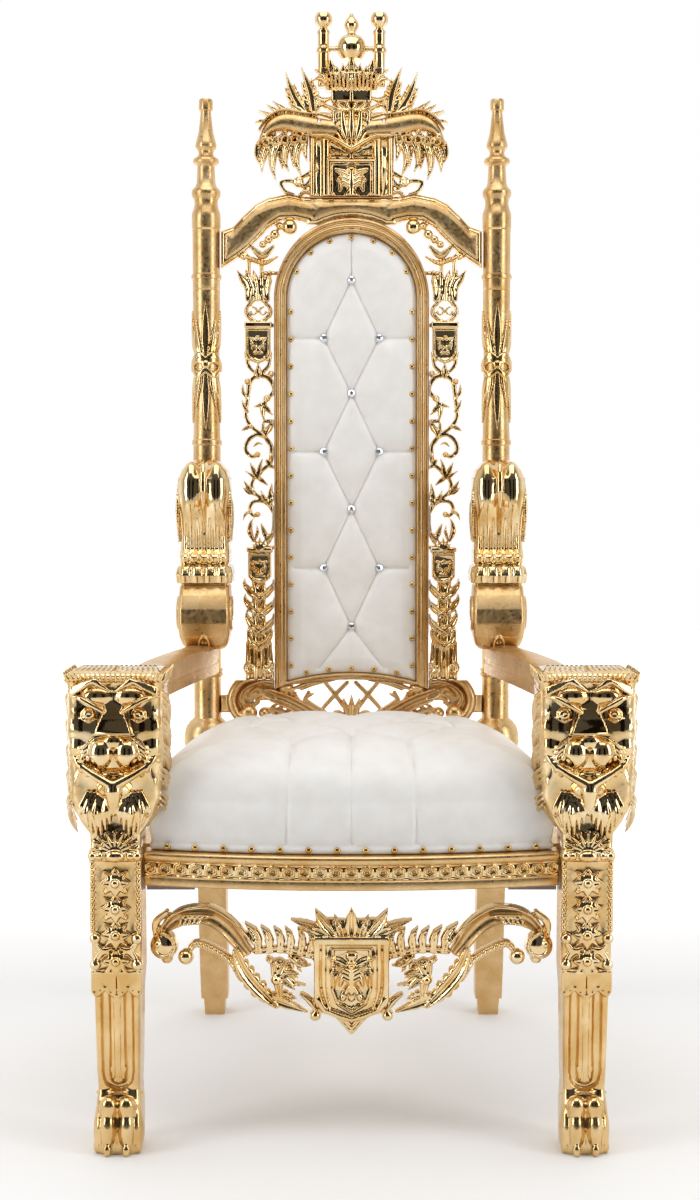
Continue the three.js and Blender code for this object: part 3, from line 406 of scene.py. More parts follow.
def leaf(board, points, width, height, fingers=3, turn=42, finish=0):
    """An acanthus leaf: pairs of fingers that lean forward from a midrib."""
    path, _ = smooth(points)
    for k in range(fingers):
        at = int((0.12 + 0.62 * k / fingers) * (len(path) - 1))
        way = path[min(at + 2, len(path) - 1)] - path[at]
        heading = math.atan2(way[1], way[0])
        reach = width * (0.95 - 0.12 * k)
        for side in (-1, 1):
            out = heading + side * math.radians(turn)
            tip = heading + side * math.radians(turn * 0.55)
            a = path[at]
            b = a + 0.55 * reach * np.array([math.cos(out), math.sin(out)])
            c = b + 0.5 * reach * np.array([math.cos(tip), math.sin(tip)])
            carve(board, [a, b, c], [width * 0.3, width * 0.42, 1.5], height * (0.86 - 0.04 * k),
                groove=0.14, finish=finish)
    carve(board, points, [width * 0.35, width * 0.5, width * 0.4, 1.5], height, groove=0.12, finish=finish)


def volute(board, x, z, radius, start, sweep, width, height, eye=0.36, **look):
    """A scroll that winds in from the angle start to its round eye."""
    turns = np.linspace(0, 1, 9)
    angles = np.radians(start + sweep * turns)
    reach = radius * 0.42 ** (turns * abs(sweep) / 360)
    points = np.column_stack([x + reach * np.cos(angles), z + reach * np.sin(angles)])
    carve(board, points, [width, width, width * 0.7], height, **look)
    boss(board, *points[-1], radius * eye, height * 1.1)


print("fans, leaves and volutes can be laid")

# %% [markdown]
# The shields carry a plain heraldic eagle, built from strokes for the wings, tail and head.

# %% Shields and eagles


def shield(board, x, top, half, tall, height, rim=0.14):
    """A heater shield with a raised rim and, on its sunk field, a spread eagle."""
    def outline(d):
        w, low = half - d, top - tall + 1.3 * d
        right = [(x + w, top - d), (x + w, low + tall * 0.24), (x + w * 0.72, low + tall * 0.1), (x, low)]
        return right + [(2 * x - px, pz) for px, pz in right[::-1] if px > x]
    slab(board, outline(0), height, 1.5)
    sink(board, inside_outline(board, outline(half * rim)), height * 0.3, 1.5)
    eagle(board, x, top - tall * 0.47, half * 0.62, height * 0.98)


def eagle(board, x, z, span, height):
    """A small spread eagle, the usual heraldic kind: wings of feathers, body, tail and head."""
    for side in (-1, 1):
        for k in range(3):
            low = span * (0.15 - 0.3 * k)
            tip = (x + side * span * (0.95 - 0.1 * k), z + span * (0.8 - 0.62 * k))
            carve(board, [(x + side * span * 0.12, z + span * 0.25 + low),
                (x + side * span * 0.6, z + low + span * 0.5), tip],
                    [span * 0.26, span * 0.32, span * 0.12], height, wall=0.75)
        carve(board, [(x, z - span * 0.3), (x + side * span * 0.35, z - span * 0.95)],
            [span * 0.24, span * 0.3], height, wall=0.75)
    carve(board, [(x, z + span * 0.7), (x, z - span * 0.9)], [span * 0.3, span * 0.5, span * 0.35],
        height * 1.04, wall=0.75)
    boss(board, x + span * 0.06, z + span * 0.85, span * 0.2, height * 1.04, 0.8)


print("shields and eagles can be laid")

# %% [markdown]
# From maps to a mesh. The two maps make a field of numbers over the board's room: above zero in
# the wood, below zero in the air. A surface net puts one point in each grid box where the sign
# changes, at the mean of the crossings on its edges, and joins neighbours with four-sided faces.

# %% Surface nets


def surface_net(field, origin, step):
    """Points and faces of the surface where a 3-D grid of numbers crosses zero."""
    wood = field > 0
    size = np.array(field.shape)
    corners = np.array([(i, j, k) for i in (0, 1) for j in (0, 1) for k in (0, 1)])
    full = sum(wood[i : size[0] - 1 + i, j : size[1] - 1 + j, k : size[2] - 1 + k].astype(np.int8) for i, j,
        k in corners)
    boxes = np.argwhere((full > 0) & (full < 8))
    number = np.full(size - 1, -1)
    number[tuple(boxes.T)] = np.arange(len(boxes))
    total, hits = np.zeros((len(boxes), 3)), np.zeros(len(boxes))
    faces = []
    for axis in range(3):
        unit = np.eye(3, dtype=int)[axis]
        for corner in corners[corners[:, axis] == 0]:
            a = field[tuple((boxes + corner).T)]
            b = field[tuple((boxes + corner + unit).T)]
            cross = (a > 0) != (b > 0)
            t = a[cross] / (a[cross] - b[cross])
            total[cross] += corner + t[:, None] * unit
            hits[cross] += 1
        u, v = np.eye(3, dtype=int)[(axis + 1) % 3], np.eye(3, dtype=int)[(axis + 2) % 3]
        first = wood[tuple(slice(0, n - 1) if k == axis else slice(1, n - 1) for k, n in enumerate(size))]
        after = wood[tuple(slice(1, n) if k == axis else slice(1, n - 1) for k, n in enumerate(size))]
        edges = np.argwhere(first != after) + 1 - unit
        quad = np.stack([number[tuple((edges - o).T)] for o in (u + v, v, 0 * u, u)], axis=1)
        leaves = first[tuple((edges - 1 + unit).T)]
        quad[~leaves] = quad[~leaves][:, ::-1]
        faces.append(quad)
    points = np.array(origin) + (boxes + total / hits[:, None]) * np.array(step)
    return points, np.concatenate(faces)


print("fields can be turned into closed meshes")

# %% [markdown]
# A mesh becomes a piece once it rides on the chair's body and is shaded smooth. Flat stretches
# need few faces, so each piece is thinned, which keeps the whole chair under a million.

# %% Finished pieces


def add_piece(name, points, faces, materials, finish=None):
    """A mesh object from arrays, smooth shaded, that rides on the chair."""
    mesh = bpy.data.meshes.new(name)
    mesh.vertices.add(len(points))
    mesh.vertices.foreach_set("co", np.ascontiguousarray(points, np.float32).ravel())
    mesh.loops.add(faces.size)
    mesh.loops.foreach_set("vertex_index", np.ascontiguousarray(faces, np.int32).ravel())
    mesh.polygons.add(len(faces))
    mesh.polygons.foreach_set("loop_start", np.arange(0, faces.size, faces.shape[1], dtype=np.int32))
    for material in materials:
        mesh.materials.append(material)
    if finish is not None:
        mesh.polygons.foreach_set("material_index", finish.astype(np.int32))
    mesh.polygons.foreach_set("use_smooth", np.ones(len(faces), bool))
    mesh.update(calc_edges=True)
    made = bpy.data.objects.new(name, mesh)
    bpy.context.scene.collection.objects.link(made)
    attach(made, "root")
    print(name, "has", len(faces) * (faces.shape[1] - 2), "triangles")
    return made


def thin_out(obj, ratio):
    """Collapses faces where the surface is flat, which leaves the shape as it was."""
    less = obj.modifiers.new("fewer faces", "DECIMATE")
    less.ratio = ratio
    bpy.context.view_layer.objects.active = obj
    bpy.ops.object.modifier_apply(modifier=less.name)
    print(obj.name, "keeps", len(obj.data.polygons), "faces")


# %% [markdown]
# Depth needs a coarser step than the face does, because the height of a stroke is exact in a net.

# %% Boards to meshes
DEEP_CELL = 3.0


def mesh_board(board, across=False):
    """Points (x, depth, z), faces and finishes of a board; across mirrors it about x = 0."""
    maps = {k: board[k] for k in ("rise", "edge", "finish")}
    left = board["x"][0, 0]
    if across:
        maps = {k: np.concatenate([m[:0:-1], m]) for k, m in maps.items()}
        left = -board["x"][-1, 0]
    depth = np.arange(-DEEP_CELL, maps["rise"].max() + 2 * DEEP_CELL, DEEP_CELL)

    def pad(m, v):
        return np.pad(m, 1, constant_values=v)

    rise, edge = pad(maps["rise"], -99.0), pad(maps["edge"], OUTSIDE)
    field = np.minimum(rise[:, None] - depth[:, None], edge[:, None])
    field = np.minimum(field, depth[:, None] + 0.001)
    cell = board["cell"]
    origin = (left - cell, depth[0], board["z"][0, 0] - cell)
    points, faces = surface_net(field, origin, (cell, DEEP_CELL, cell))
    at = ((points[faces].mean(1)[:, [0, 2]] - (left, origin[2] + cell)) / cell).round().astype(int)
    at = np.clip(at, 0, np.array(maps["finish"].shape) - 1)
    return points, faces, maps["finish"][at[:, 0], at[:, 1]]


def board_piece(name, board, materials, keep, node, back=0):
    """Meshes a board on the plane of the back, thins it and lets it stand for its node."""
    points, faces, finish = mesh_board(board, across=True)
    place = lean(points[:, 0], points[:, 1] + back, points[:, 2])
    made = add_piece(name, place, faces[:, ::-1], materials, finish)
    thin_out(made, keep)
    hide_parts(node)
    print("made", name, "with", len(made.data.polygons), "faces")
    return made


print("boards are meshed in steps of", DEEP_CELL, "mm through their depth")

# %% [markdown]
# Side friezes: a pierced vine that climbs from a fluted foot, past two crowned shields, to a leaf
# capital and a beaded cup beside the arch. The right one is drawn; the left one is its mirror.

# %% Side frieze, lower half
BOARD = 20     # how far the boards' highest strokes stand forward
MID = 168      # middle of the right frieze
frieze = blank(98, 208, 203, 1044)
for low, high, inner, outer in ((206, 232, 138, 192), (228, 292, 143, 190)):
    slab(frieze, [(inner, low), (outer, low), (outer - 5, high), (inner + 5, high)], BOARD * 0.55, 4)
for k in range(4):
    foot = 147 + 13 * k
    carve(frieze, [(foot - 3 + 2 * k, 210), (foot + 1, 232), (foot + 2, 272)], [10, 13, 9], BOARD * 0.85,
        groove=0.2)
volute(frieze, 185, 226, 11, 80, -300, 7, BOARD * 0.9)
volute(frieze, 148, 226, 10, 100, 300, 7, BOARD * 0.9)
carve(frieze, [(MID - 2, 268), (MID + 3, 330), (MID - 3, 388)], [22, 16, 18], BOARD * 0.7, groove=0.3)
for tip_x, tip_z in ((186, 296), (189, 326), (192, 356), (193, 384), (147, 296), (143, 320), (141, 352),
    (143, 382)):
    side = 1 if tip_x > MID else -1
    root = (MID - side * 2, tip_z - 30)
    carve(frieze, [root, (MID + side * 13, tip_z - 20), (tip_x, tip_z - 6), (tip_x + side, tip_z + 6)],
          [9, 17, 12, 2], BOARD, groove=0.22)
    carve(frieze, [(MID + side * 4, tip_z - 26), (MID + side * 10, tip_z - 4),
        (MID + side * 12, tip_z + 6)],
            [7, 9, 2], BOARD * 0.85)
shield(frieze, 166.5, 436, 21, 56, BOARD * 0.85)
bar(frieze, 143, 190, 437, 446, BOARD * 0.9)
fan(frieze, (166, 440), 40, 140, 5, 24, 9, BOARD * 0.95)
print("carved the foot, husks and lower shield on", frieze["x"].size, "cells")

# %% Side frieze, vine
STEM = BOARD * 0.82
for path, widths in (
    ([(150, 456), (142, 474), (140, 492), (141, 512), (150, 526), (166, 537), (178, 547), (180, 560),
        (175, 573)], [9, 8, 8]),
    ([(141, 508), (148, 520), (160, 529), (177, 528), (184, 516), (180, 505), (171, 503)], [8, 9, 7]),
    ([(174, 574), (164, 568), (153, 559)], [8, 10, 4]),
    ([(169, 572), (161, 585), (148, 597), (145, 612), (146, 630), (158, 646), (182, 665), (191, 685),
        (188, 712), (184, 742)],
     [8, 9, 8, 8]),
    ([(152, 602), (147, 593), (134, 589)], [8, 8, 7]),
    ([(150, 634), (158, 645), (172, 649), (187, 638), (191, 621), (180, 610), (168, 614)], [7, 9, 8]),
    ([(186, 736), (178, 750), (160, 756), (146, 746), (140, 728), (153, 713)], [8, 10, 8]),
    ([(186, 742), (172, 756), (152, 770), (146, 796)], [8, 7, 8, 6]),
    ([(146, 754), (162, 754), (184, 770), (191, 796)], [7, 7, 8, 6]),
):
    carve(frieze, path, widths, STEM, groove=0.18)
for path, width in (
    ([(154, 460), (158, 474), (164, 490)], 11), ([(153, 460), (147, 468), (138, 474)], 10),
    ([(178, 458), (184, 474), (182, 490), (176, 500)], 12), ([(174, 460), (170, 474), (172, 486)], 8),
    ([(149, 522), (147, 542), (144, 562)], 11), ([(147, 524), (140, 540), (135, 557)], 9),
    ([(152, 526), (159, 537), (164, 549)], 9), ([(178, 543), (187, 554), (195, 567)], 10),
    ([(178, 541), (188, 546), (196, 554)], 9), ([(169, 571), (177, 585), (184, 600)], 11),
    ([(168, 571), (166, 590), (161, 606)], 10), ([(170, 570), (182, 577), (192, 584)], 8),
    ([(155, 648), (148, 662), (137, 678)], 13), ([(158, 650), (160, 664), (157, 678)], 8),
    ([(182, 664), (190, 661), (199, 655)], 10), ([(186, 690), (194, 700), (198, 712)], 8),
    ([(154, 712), (160, 696), (159, 674)], 13), ([(156, 706), (168, 701), (178, 699)], 10),
    ([(156, 702), (149, 691), (142, 684)], 10), ([(176, 628), (168, 634), (160, 630)], 7),
    ([(168, 752), (168, 764), (168, 778)], 13), ([(190, 716), (196, 726), (196, 740)], 8),
    ([(146, 604), (140, 616), (136, 630)], 8), ([(184, 512), (192, 505), (196, 494)], 8),
):
    carve(frieze, path, [width * 0.5, width, width * 0.7, 1.5], BOARD, groove=0.2)
for x, z, radius in ((170, 505, 6), (170, 613, 6), (153, 714, 7), (188, 745, 6), (145, 759, 6)):
    boss(frieze, x, z, radius, BOARD * 1.05)
print("carved the vine up to", round(float(frieze["z"][frieze["edge"] > 0].max())), "mm")

# %% Side frieze, upper end
shield(frieze, 168.5, 842, 23, 66, BOARD * 0.85)
bar(frieze, 144, 193, 841, 852, BOARD * 0.95)
for side in (-1, 1):
    carve(frieze, [(MID, 850), (MID + side * 19, 862), (MID + side * 20, 878), (MID + side * 3, 894)],
        [7, 9, 8, 7], STEM)
    volute(frieze, MID + side * 9, 870, 8, 90, side * 260, 5, BOARD * 0.8)
for k in range(5):
    foot, tip = 151 + 9 * k, 147 + 14.5 * k
    carve(frieze, [(foot, 892), (foot + 1, 914), (tip, 943)], [9, 12, 15, 3],
        BOARD * (1.05 - 0.05 * abs(k - 2)), groove=0.22)
for x in (162, 185):
    carve(frieze, [(x, 938), (x, 968)], [8, 7], BOARD * 0.6)
carve(frieze, [(200, 966), (186, 966), (158, 957), (134, 967)], [4, 11, 11, 5], BOARD, ribs=6)
carve(frieze, [(180, 987), (170, 976), (158, 971), (141, 986)], [7, 13, 14, 7], BOARD, groove=0.3)
leaf(frieze, [(184, 966), (194, 970), (206, 976)], 14, BOARD * 0.9, 2)
carve(frieze, [(180, 985), (186, 1000), (176, 1012)], [7, 6, 2], STEM)
for x, z, radius in ((160, 990, 7), (149, 999, 8), (138, 1008, 9), (111, 1021, 14), (129, 1022, 7)):
    boss(frieze, x, z, radius, BOARD * (1.15 if radius > 10 else 0.95))
leaf(frieze, [(122, 1016), (131, 1026), (138, 1036)], 12, BOARD * 0.8, 2)
for z in (222, 446, 674, 846, 940):
    bar(frieze, 130, 160, z - 4, z + 4, 6, 1)
print("frieze map", frieze["x"].shape)

# %% [markdown]
# The panel's frame and the crest's wings lie beside the carving, so their room is cut out of it.

# %% Rooms for the neighbours
PANEL_HALF, PANEL_LOW, PANEL_RISE, SPRING = 117, 203, 16, 893
FRAME_HALF, FRAME_ARCH, SILL = 140, 147, 13


def frame_inside(x, z, margin=0.6):
    """Distance inside the panel frame's outer outline, about right near its edge."""
    half, tall = FRAME_HALF + margin, FRAME_ARCH + margin
    low = PANEL_LOW - SILL + 2 * PANEL_RISE * 0.5 * (1 - (x / FRAME_HALF) ** 2) - margin
    arch = (1 - np.hypot(x / half, np.maximum(z - SPRING, 0) / tall)) * half
    return np.minimum(arch, z - low)


def wing_edges(x):
    """Upper and lower edge of the satin wing at a distance x from the middle."""
    x = np.abs(x)
    upper = np.interp(x, [64, 90, 112, 150, 172, 196, 212, 236],
        [1074, 1076, 1081, 1073, 1062, 1040, 1022, 1013])
    lower = np.interp(x, [64, 100, 130, 150, 163, 176, 190, 212, 236],
        [1026, 1034, 1033, 1020, 1006, 993, 979, 963, 947])
    return upper, lower


def clear_neighbours(board):
    x, z = board["x"], board["z"]
    board["edge"] = np.minimum(board["edge"], -frame_inside(x, z))
    upper, lower = wing_edges(x)
    wing = np.minimum(upper + 0.6 - z, z - lower + 0.6) * 0.8
    board["edge"] = np.where(np.abs(x) < 240, np.minimum(board["edge"], -wing), board["edge"])


clear_neighbours(frieze)
points, faces, finish = mesh_board(frieze)
for side in (1, -1):
    name = "frieze_" + ("right" if side > 0 else "left")
    turned = faces if side < 0 else faces[:, ::-1]
    made = add_piece(name, lean(side * points[:, 0], points[:, 1], points[:, 2]), turned, [polished],
        finish)
    thin_out(made, 0.45)
    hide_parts("side_" + name)
print("made both side friezes")

# %% [markdown]
# The crest: a shield on a fluted pilaster, satin mantling that sweeps out on both sides with
# hanging locks, two plumes, a bud and a ribbed crown. Half of it is drawn and then mirrored.

# %% Crest
CREST = 30
crest = blank(0, 176, 1036, 1330)
bar(crest, 0, 76, 1042, 1184, CREST * 0.5)
bar(crest, 0, 34, 1170, 1292, CREST * 0.5)
bar(crest, 30, 60, 1270, 1292, CREST * 0.5)
for x, width in ((70, 9), (46, 13)):
    carve(crest, [(x, 1038), (x, 1184)], [width, width], CREST * 0.8, wall=0.75)
for x, z in ((25, 1150), (22, 1049)):
    boss(crest, x, z, 5, CREST * 0.8, stretch=0.7)
    carve(crest, [(x - 14, z), (x + 12, z)], [5, 5], CREST * 0.62)
shield(crest, 0, 1139, 43, 86, CREST * 0.9)
carve(crest, [(66, 1180), (39, 1178), (0, 1157)], [10, 12, 13], CREST * 1.1, wall=0.35)
for points, width, tall in (
    ([(82, 1192), (97, 1162), (99, 1138), (90, 1112)], 17,
        0.7), ([(96, 1192), (116, 1166), (120, 1140), (112, 1118)], 17, 0.75),
    ([(118, 1190), (138, 1160), (142, 1130), (136, 1104)], 18,
        0.75), ([(138, 1186), (152, 1164), (160, 1138), (161, 1118)], 16, 0.7),
    ([(152, 1182), (166, 1168), (170, 1150), (167, 1136)], 13, 0.65), ([(80, 1180), (84, 1160), (80, 1138)],
        11, 0.6),
    ([(106, 1176), (106, 1150), (104, 1128)], 10, 0.6), ([(128, 1172), (128, 1150), (124, 1124)], 10, 0.6),
):
    carve(crest, points, [width * 0.5, width, width * 0.8, 2], CREST * tall, groove=0.22)
for k in range(5):
    volute(crest, 84 + 17 * k, 1176 - 1.5 * k, 9, 130, -330, 6, CREST * 0.85)
print("carved the crest block, shield and feathers")

# %% Crest, mantling and plumes
carve(crest, [(36, 1195), (62, 1198), (84, 1201), (110, 1206), (128, 1205), (146, 1196), (158, 1182),
    (163, 1172)],
        [28, 31, 34, 34, 32, 26, 16, 7], CREST, wall=0.62, finish=1)
carve(crest, [(60, 1219), (84, 1221), (124, 1226), (150, 1213), (166, 1192)], [4, 5, 6, 6, 3], CREST * 1.0)
boss(crest, 156, 1179, 9, CREST * 1.05)
for points, width in (
    ([(98, 1218), (118, 1228), (141, 1244)], 13), ([(118, 1216), (134, 1226), (152, 1238)], 12),
    ([(132, 1212), (146, 1219), (166, 1227)], 12), ([(80, 1218), (96, 1228), (112, 1242)], 12),
    ([(148, 1206), (162, 1208), (173, 1206)], 10),
):
    carve(crest, points, [width * 0.6, width, width * 0.6, 1.5], CREST * 0.8, groove=0.2)
leaf(crest, [(66, 1214), (72, 1252), (80, 1278), (90, 1304)], 30, CREST * 0.85, 4)
leaf(crest, [(76, 1214), (98, 1244), (110, 1270), (118, 1296)], 28, CREST * 0.75, 4)
for points, width in (
    ([(38, 1248), (50, 1246), (62, 1252), (64, 1264)], 11), ([(42, 1272), (54, 1284), (70, 1280)], 12),
    ([(44, 1284), (56, 1294), (66, 1300)], 9), ([(40, 1232), (54, 1238), (66, 1238)], 10),
):
    carve(crest, points, [width * 0.6, width, width * 0.7, 1.5], CREST * 0.8, groove=0.2)
print("carved the mantling and plumes")

# %% Crest, bud and crown
for tip, width in (((56, 1221), 13), ((48, 1236), 13), ((28, 1240), 12), ((9, 1241), 12)):
    carve(crest, [(0, 1206), (tip[0] * 0.5, 1210 + (tip[1] - 1212) * 0.6), tip], [8, width, width * 0.5],
        CREST * 0.95, groove=0.2)
for x, width in ((27, 17), (14, 20), (0, 22)):
    carve(crest, [(x * 1.15, 1219), (x, 1196), (x * 0.45, 1166)], [width * 0.7, width, 5],
        CREST * (1.12 - x / 200))
bar(crest, 0, 36, 1241, 1265, CREST * 0.85, 3)
slab(crest, [(0, 1262), (46, 1262), (47, 1280), (30, 1287), (0, 1290)], CREST * 0.7, 2)
for k in range(7):
    carve(crest, [(7 * k, 1264), (7.3 * k, 1289 - 0.1 * k * k)], [6, 6.6], CREST * 0.95)
for x, top, width in ((0, 1322, 23), (15, 1309, 13), (36, 1317, 19), (26, 1305, 12)):
    carve(crest, [(x * 0.9, 1284), (x, 1300), (x * 1.06, top)], [width * 0.5, width, 2], CREST * 1.0,
        groove=0.25)
for points, widths in (
    ([(70, 1108), (84, 1094), (106, 1102), (126, 1100), (120, 1086), (104, 1078)], [9, 10, 8, 7]),
    ([(66, 1122), (84, 1112), (96, 1106)], [9, 9, 7]),
):
    carve(crest, points, widths, CREST * 0.7, groove=0.15)
boss(crest, 95, 1101, 10, CREST * 0.75)
pierce(crest, 95, 1101, 3.5)
volute(crest, 82, 1058, 18, 200, -420, 9, CREST * 0.75)
carve(crest, [(66, 1078), (84, 1084), (98, 1072)], [8, 9, 6], CREST * 0.65)
pierce(crest, 58, 1208, 3, 5)
clear_neighbours(crest)
board_piece("crest_carving", crest, [polished, satin], 0.42, "crest")

# %% [markdown]
# The front apron hangs between the legs under the seat rail: end volutes, satin crescents with a
# beaded band, feathered lobes, shell and leaf clusters, and a crowned shield in the middle.

# %% Front apron
APRON = 24
APRON_BACK = -325    # plane of its back, where the legs' middles are
APRON_END = 308
apron = blank(0, APRON_END + 1, 170, 368)
carve(apron, [(290, 320), (291, 340), (275, 356)], [11, 12, 9], APRON * 0.75, groove=0.15)
carve(apron, [(284, 320), (268, 340), (246, 350), (212, 350), (184, 332), (158, 300)],
    [8, 22, 27, 28, 27, 20],
        APRON * 0.85, rim=0.35, finish=1)
carve(apron, [(286, 330), (268, 352), (244, 363), (210, 364), (177, 345), (147, 312)], [4, 7, 8, 7, 6, 5],
    APRON)
for k in range(5):
    carve(apron, [(256 - 7 * k, 338 + k), (250 - 7 * k, 350), (238 - 8 * k, 352)], [3, 6, 1.5], APRON * 1.0,
        groove=0.2)
boss(apron, 279, 306, 21, APRON * 1.1)
volute(apron, 279, 306, 21, 90, 300, 7, APRON * 1.15, eye=0.4)
boss(apron, 275, 287, 9, APRON * 0.8)
carve(apron, [(248, 290), (232, 308), (206, 300), (182, 284), (170, 262)], [9, 13, 13, 12, 8], APRON * 0.75,
    ribs=14)
boss(apron, 247, 289, 12, APRON * 0.95)
carve(apron, [(142, 298), (100, 300), (54, 290)], [11, 12, 12], APRON * 0.85, groove=0.2)
for foot, tip, width in (
    ((138, 300), (158, 341), 17), ((122, 300), (135, 336), 15), ((106, 300), (116, 335), 14),
    ((92, 298), (99, 334), 14), ((76, 296), (80, 333), 14), ((64, 294), (64, 326), 12),
):
    middle = ((foot[0] + tip[0]) / 2 - 5, (foot[1] + tip[1]) / 2 + 2)
    carve(apron, [foot, middle, tip], [width * 0.6, width, width * 0.8, 2], APRON * 0.95, groove=0.22)
carve(apron, [(172, 298), (160, 268), (138, 240), (111, 214)], [16, 30, 30, 8], APRON, groove=0.3, lobes=7)
for angle in range(5):
    turn = math.radians(80 + 45 * angle)
    tip = (112 + 34 * math.cos(turn), 258 + 30 * math.sin(turn))
    carve(apron, [(112, 256), ((112 + tip[0]) / 2, (258 + tip[1]) / 2 + 4), tip], [9, 15, 12, 2],
        APRON * 1.1, groove=0.25)
leaf(apron, [(124, 286), (104, 270), (84, 250), (68, 246)], 24, APRON * 0.95, 3)
leaf(apron, [(92, 290), (78, 278), (60, 276)], 18, APRON * 0.85, 2)
leaf(apron, [(118, 232), (98, 224), (82, 214)], 22, APRON * 0.95, 3)
carve(apron, [(112, 222), (88, 214), (66, 206)], [12, 17, 10, 3], APRON * 0.9, groove=0.22)
boss(apron, 112, 256, 9, APRON * 1.2)
boss(apron, 54, 200, 9, APRON * 0.9)
carve(apron, [(56, 202), (36, 212), (17, 197), (0, 178)], [10, 12, 12, 13], APRON * 0.8, groove=0.15)
carve(apron, [(74, 232), (62, 222), (52, 206)], [8, 12, 6], APRON * 0.8)
shield(apron, 0, 322, 56, 130, APRON, rim=0.1)
for x in (50, 41):
    carve(apron, [(x, 312), (x, 246), (x * 0.82, 214)], [8, 8, 4], APRON * 0.98, wall=0.7)
slab(apron, [(0, 304), (30, 304), (30, 240), (22, 218), (0, 204)], APRON * 0.82, 1.5)
sink(apron, inside_outline(apron,
    [(-27, 301), (27, 301), (27, 240), (20, 220), (0, 208), (-20, 220), (-27, 240)]), 6)
eagle(apron, 0, 258, 22, APRON * 0.98)
bar(apron, 0, 57, 309, 321, APRON * 1.02)
slab(apron, [(0, 319), (44, 319), (60, 338), (44, 348), (0, 346)], APRON * 0.7)
for points, width in (
    ([(36, 322), (62, 336), (90, 346)], 16), ([(26, 322), (42, 340), (54, 361)],
        22), ([(0, 322), (0, 342), (0, 362)], 26),
    ([(14, 322), (20, 338), (26, 352)], 14), ([(40, 322), (58, 328), (78, 332)], 11),
):
    carve(apron, points, [width * 0.6, width, width * 0.7, 2], APRON * 1.02, groove=0.28)
for x, z in ((21, 336), (54, 334)):
    boss(apron, x, z, 4.5, APRON * 0.95)
apron["edge"] = np.minimum(apron["edge"], APRON_END - apron["x"])
points, faces, finish = mesh_board(apron, across=True)
place = np.column_stack([points[:, 0], APRON_BACK - points[:, 1], points[:, 2]]) * MM
made = add_piece("apron_carving", place, faces[:, ::-1], [polished, satin], finish)
thin_out(made, 0.42)
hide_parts("front_apron")
print("made", made.name, "with", len(made.data.polygons), "faces")

# %% [markdown]
# Under the panel: two large scrolls, crossed straps and a palmette, in softer satin paint.

# %% Lower back rail
LOWER = 26
lower = blank(0, 238, 106, 222)
slab(lower, [(204, 140), (214, 172), (198, 200), (160, 210), (112, 200), (90, 165), (110, 150), (140, 169),
    (178, 169), (180, 140)], LOWER * 0.42)
carve(lower, [(183, 140), (206, 140), (217, 172), (200, 202), (160, 215), (116, 203)],
    [16, 19, 19, 19, 17, 15], LOWER * 0.95)
carve(lower, [(190, 150), (202, 172), (190, 192), (158, 203), (124, 196)], [4, 5, 5, 5, 4], LOWER * 1.05)
for x, z, radius in ((187, 145, 16), (119, 193, 13), (158, 145, 11)):
    boss(lower, x, z, radius, LOWER * 1.08)
bar(lower, 214, 237, 146, 178, 16, 2)
leaf(lower, [(140, 172), (158, 182), (172, 190), (188, 176)], 20, LOWER * 0.75, 3)
carve(lower, [(176, 160), (162, 172), (140, 176)], [8, 14, 8], LOWER * 0.7, groove=0.2)
carve(lower, [(150, 180), (104, 162), (40, 126), (0, 116)], [20, 24, 21, 18], LOWER * 0.8, rim=0.3)
carve(lower, [(150, 189), (104, 172), (44, 137)], [5, 6, 5], LOWER * 0.95)
carve(lower, [(146, 168), (104, 149), (36, 114)], [5, 6, 5], LOWER * 0.95)
leaf(lower, [(156, 152), (132, 150), (112, 142), (94, 130)], 18, LOWER * 0.8, 3)
carve(lower, [(106, 186), (70, 200), (24, 211), (0, 213)], [12, 13, 13, 13], LOWER * 0.85)
carve(lower, [(30, 134), (66, 154), (84, 170), (70, 180)], [8, 13, 12, 4], LOWER * 0.75, groove=0.2)
for points in ([(46, 198), (28, 176), (8, 148)], [(8, 200), (30, 178), (50, 156)],
    [(78, 182), (84, 168), (76, 160)]):
    carve(lower, points, [8, 9, 8], LOWER * 0.62, groove=0.15)
volute(lower, 27, 138, 12, 180, -280, 6, LOWER * 0.85)
for k in (-1, 0, 1):
    carve(lower, [(0, 120), (k * 9, 150), (k * 14, 177 - 6 * abs(k))], [8, 13, 12, 3], LOWER * 0.9,
        groove=0.2)
pierce(lower, 159, 166, 8, 2.6)
pierce(lower, 98, 186, 6, 3)
clear_neighbours(lower)
lower["edge"] = np.minimum(lower["edge"], np.minimum(205.4 - lower["z"], 237.2 - lower["x"]))
points, faces, finish = mesh_board(lower, across=True)
made = add_piece("lower_back_carving", lean(points[:, 0], points[:, 1], points[:, 2]), faces[:, ::-1],
    [satin], finish)
thin_out(made, 0.42)
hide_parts("lower_back_rail")
print("made", made.name, "with", len(made.data.polygons), "faces")

# %% [markdown]
# The front legs are sculpture, round on all sides, so they are modelled as a field in space:
# a body whose width and depth change with height, to which the muzzle, brows, locks and toes are
# added as rounded forms that melt into each other, and from which eyes and mouth are hollowed.

# %% Clay: forms that melt together
CLAY = 1.8     # grid step of the sculpture, in mm


def new_clay(half_x, y0, y1, z0, z1):
    n = int(half_x / CLAY)
    x = np.arange(-n, n + 1) * CLAY
    return {"x": x, "y": np.arange(y0, y1, CLAY), "z": np.arange(z0, z1, CLAY), "field": None}


def near(clay, low, high):
    """The part of the grid between two corners, and its coordinates."""
    cuts = [slice(*np.searchsorted(clay[k], (low[i], high[i]))) for i, k in enumerate("xyz")]
    grids = np.meshgrid(*(clay[k][c] for k, c in zip("xyz", cuts)), indexing="ij")
    return tuple(cuts), grids


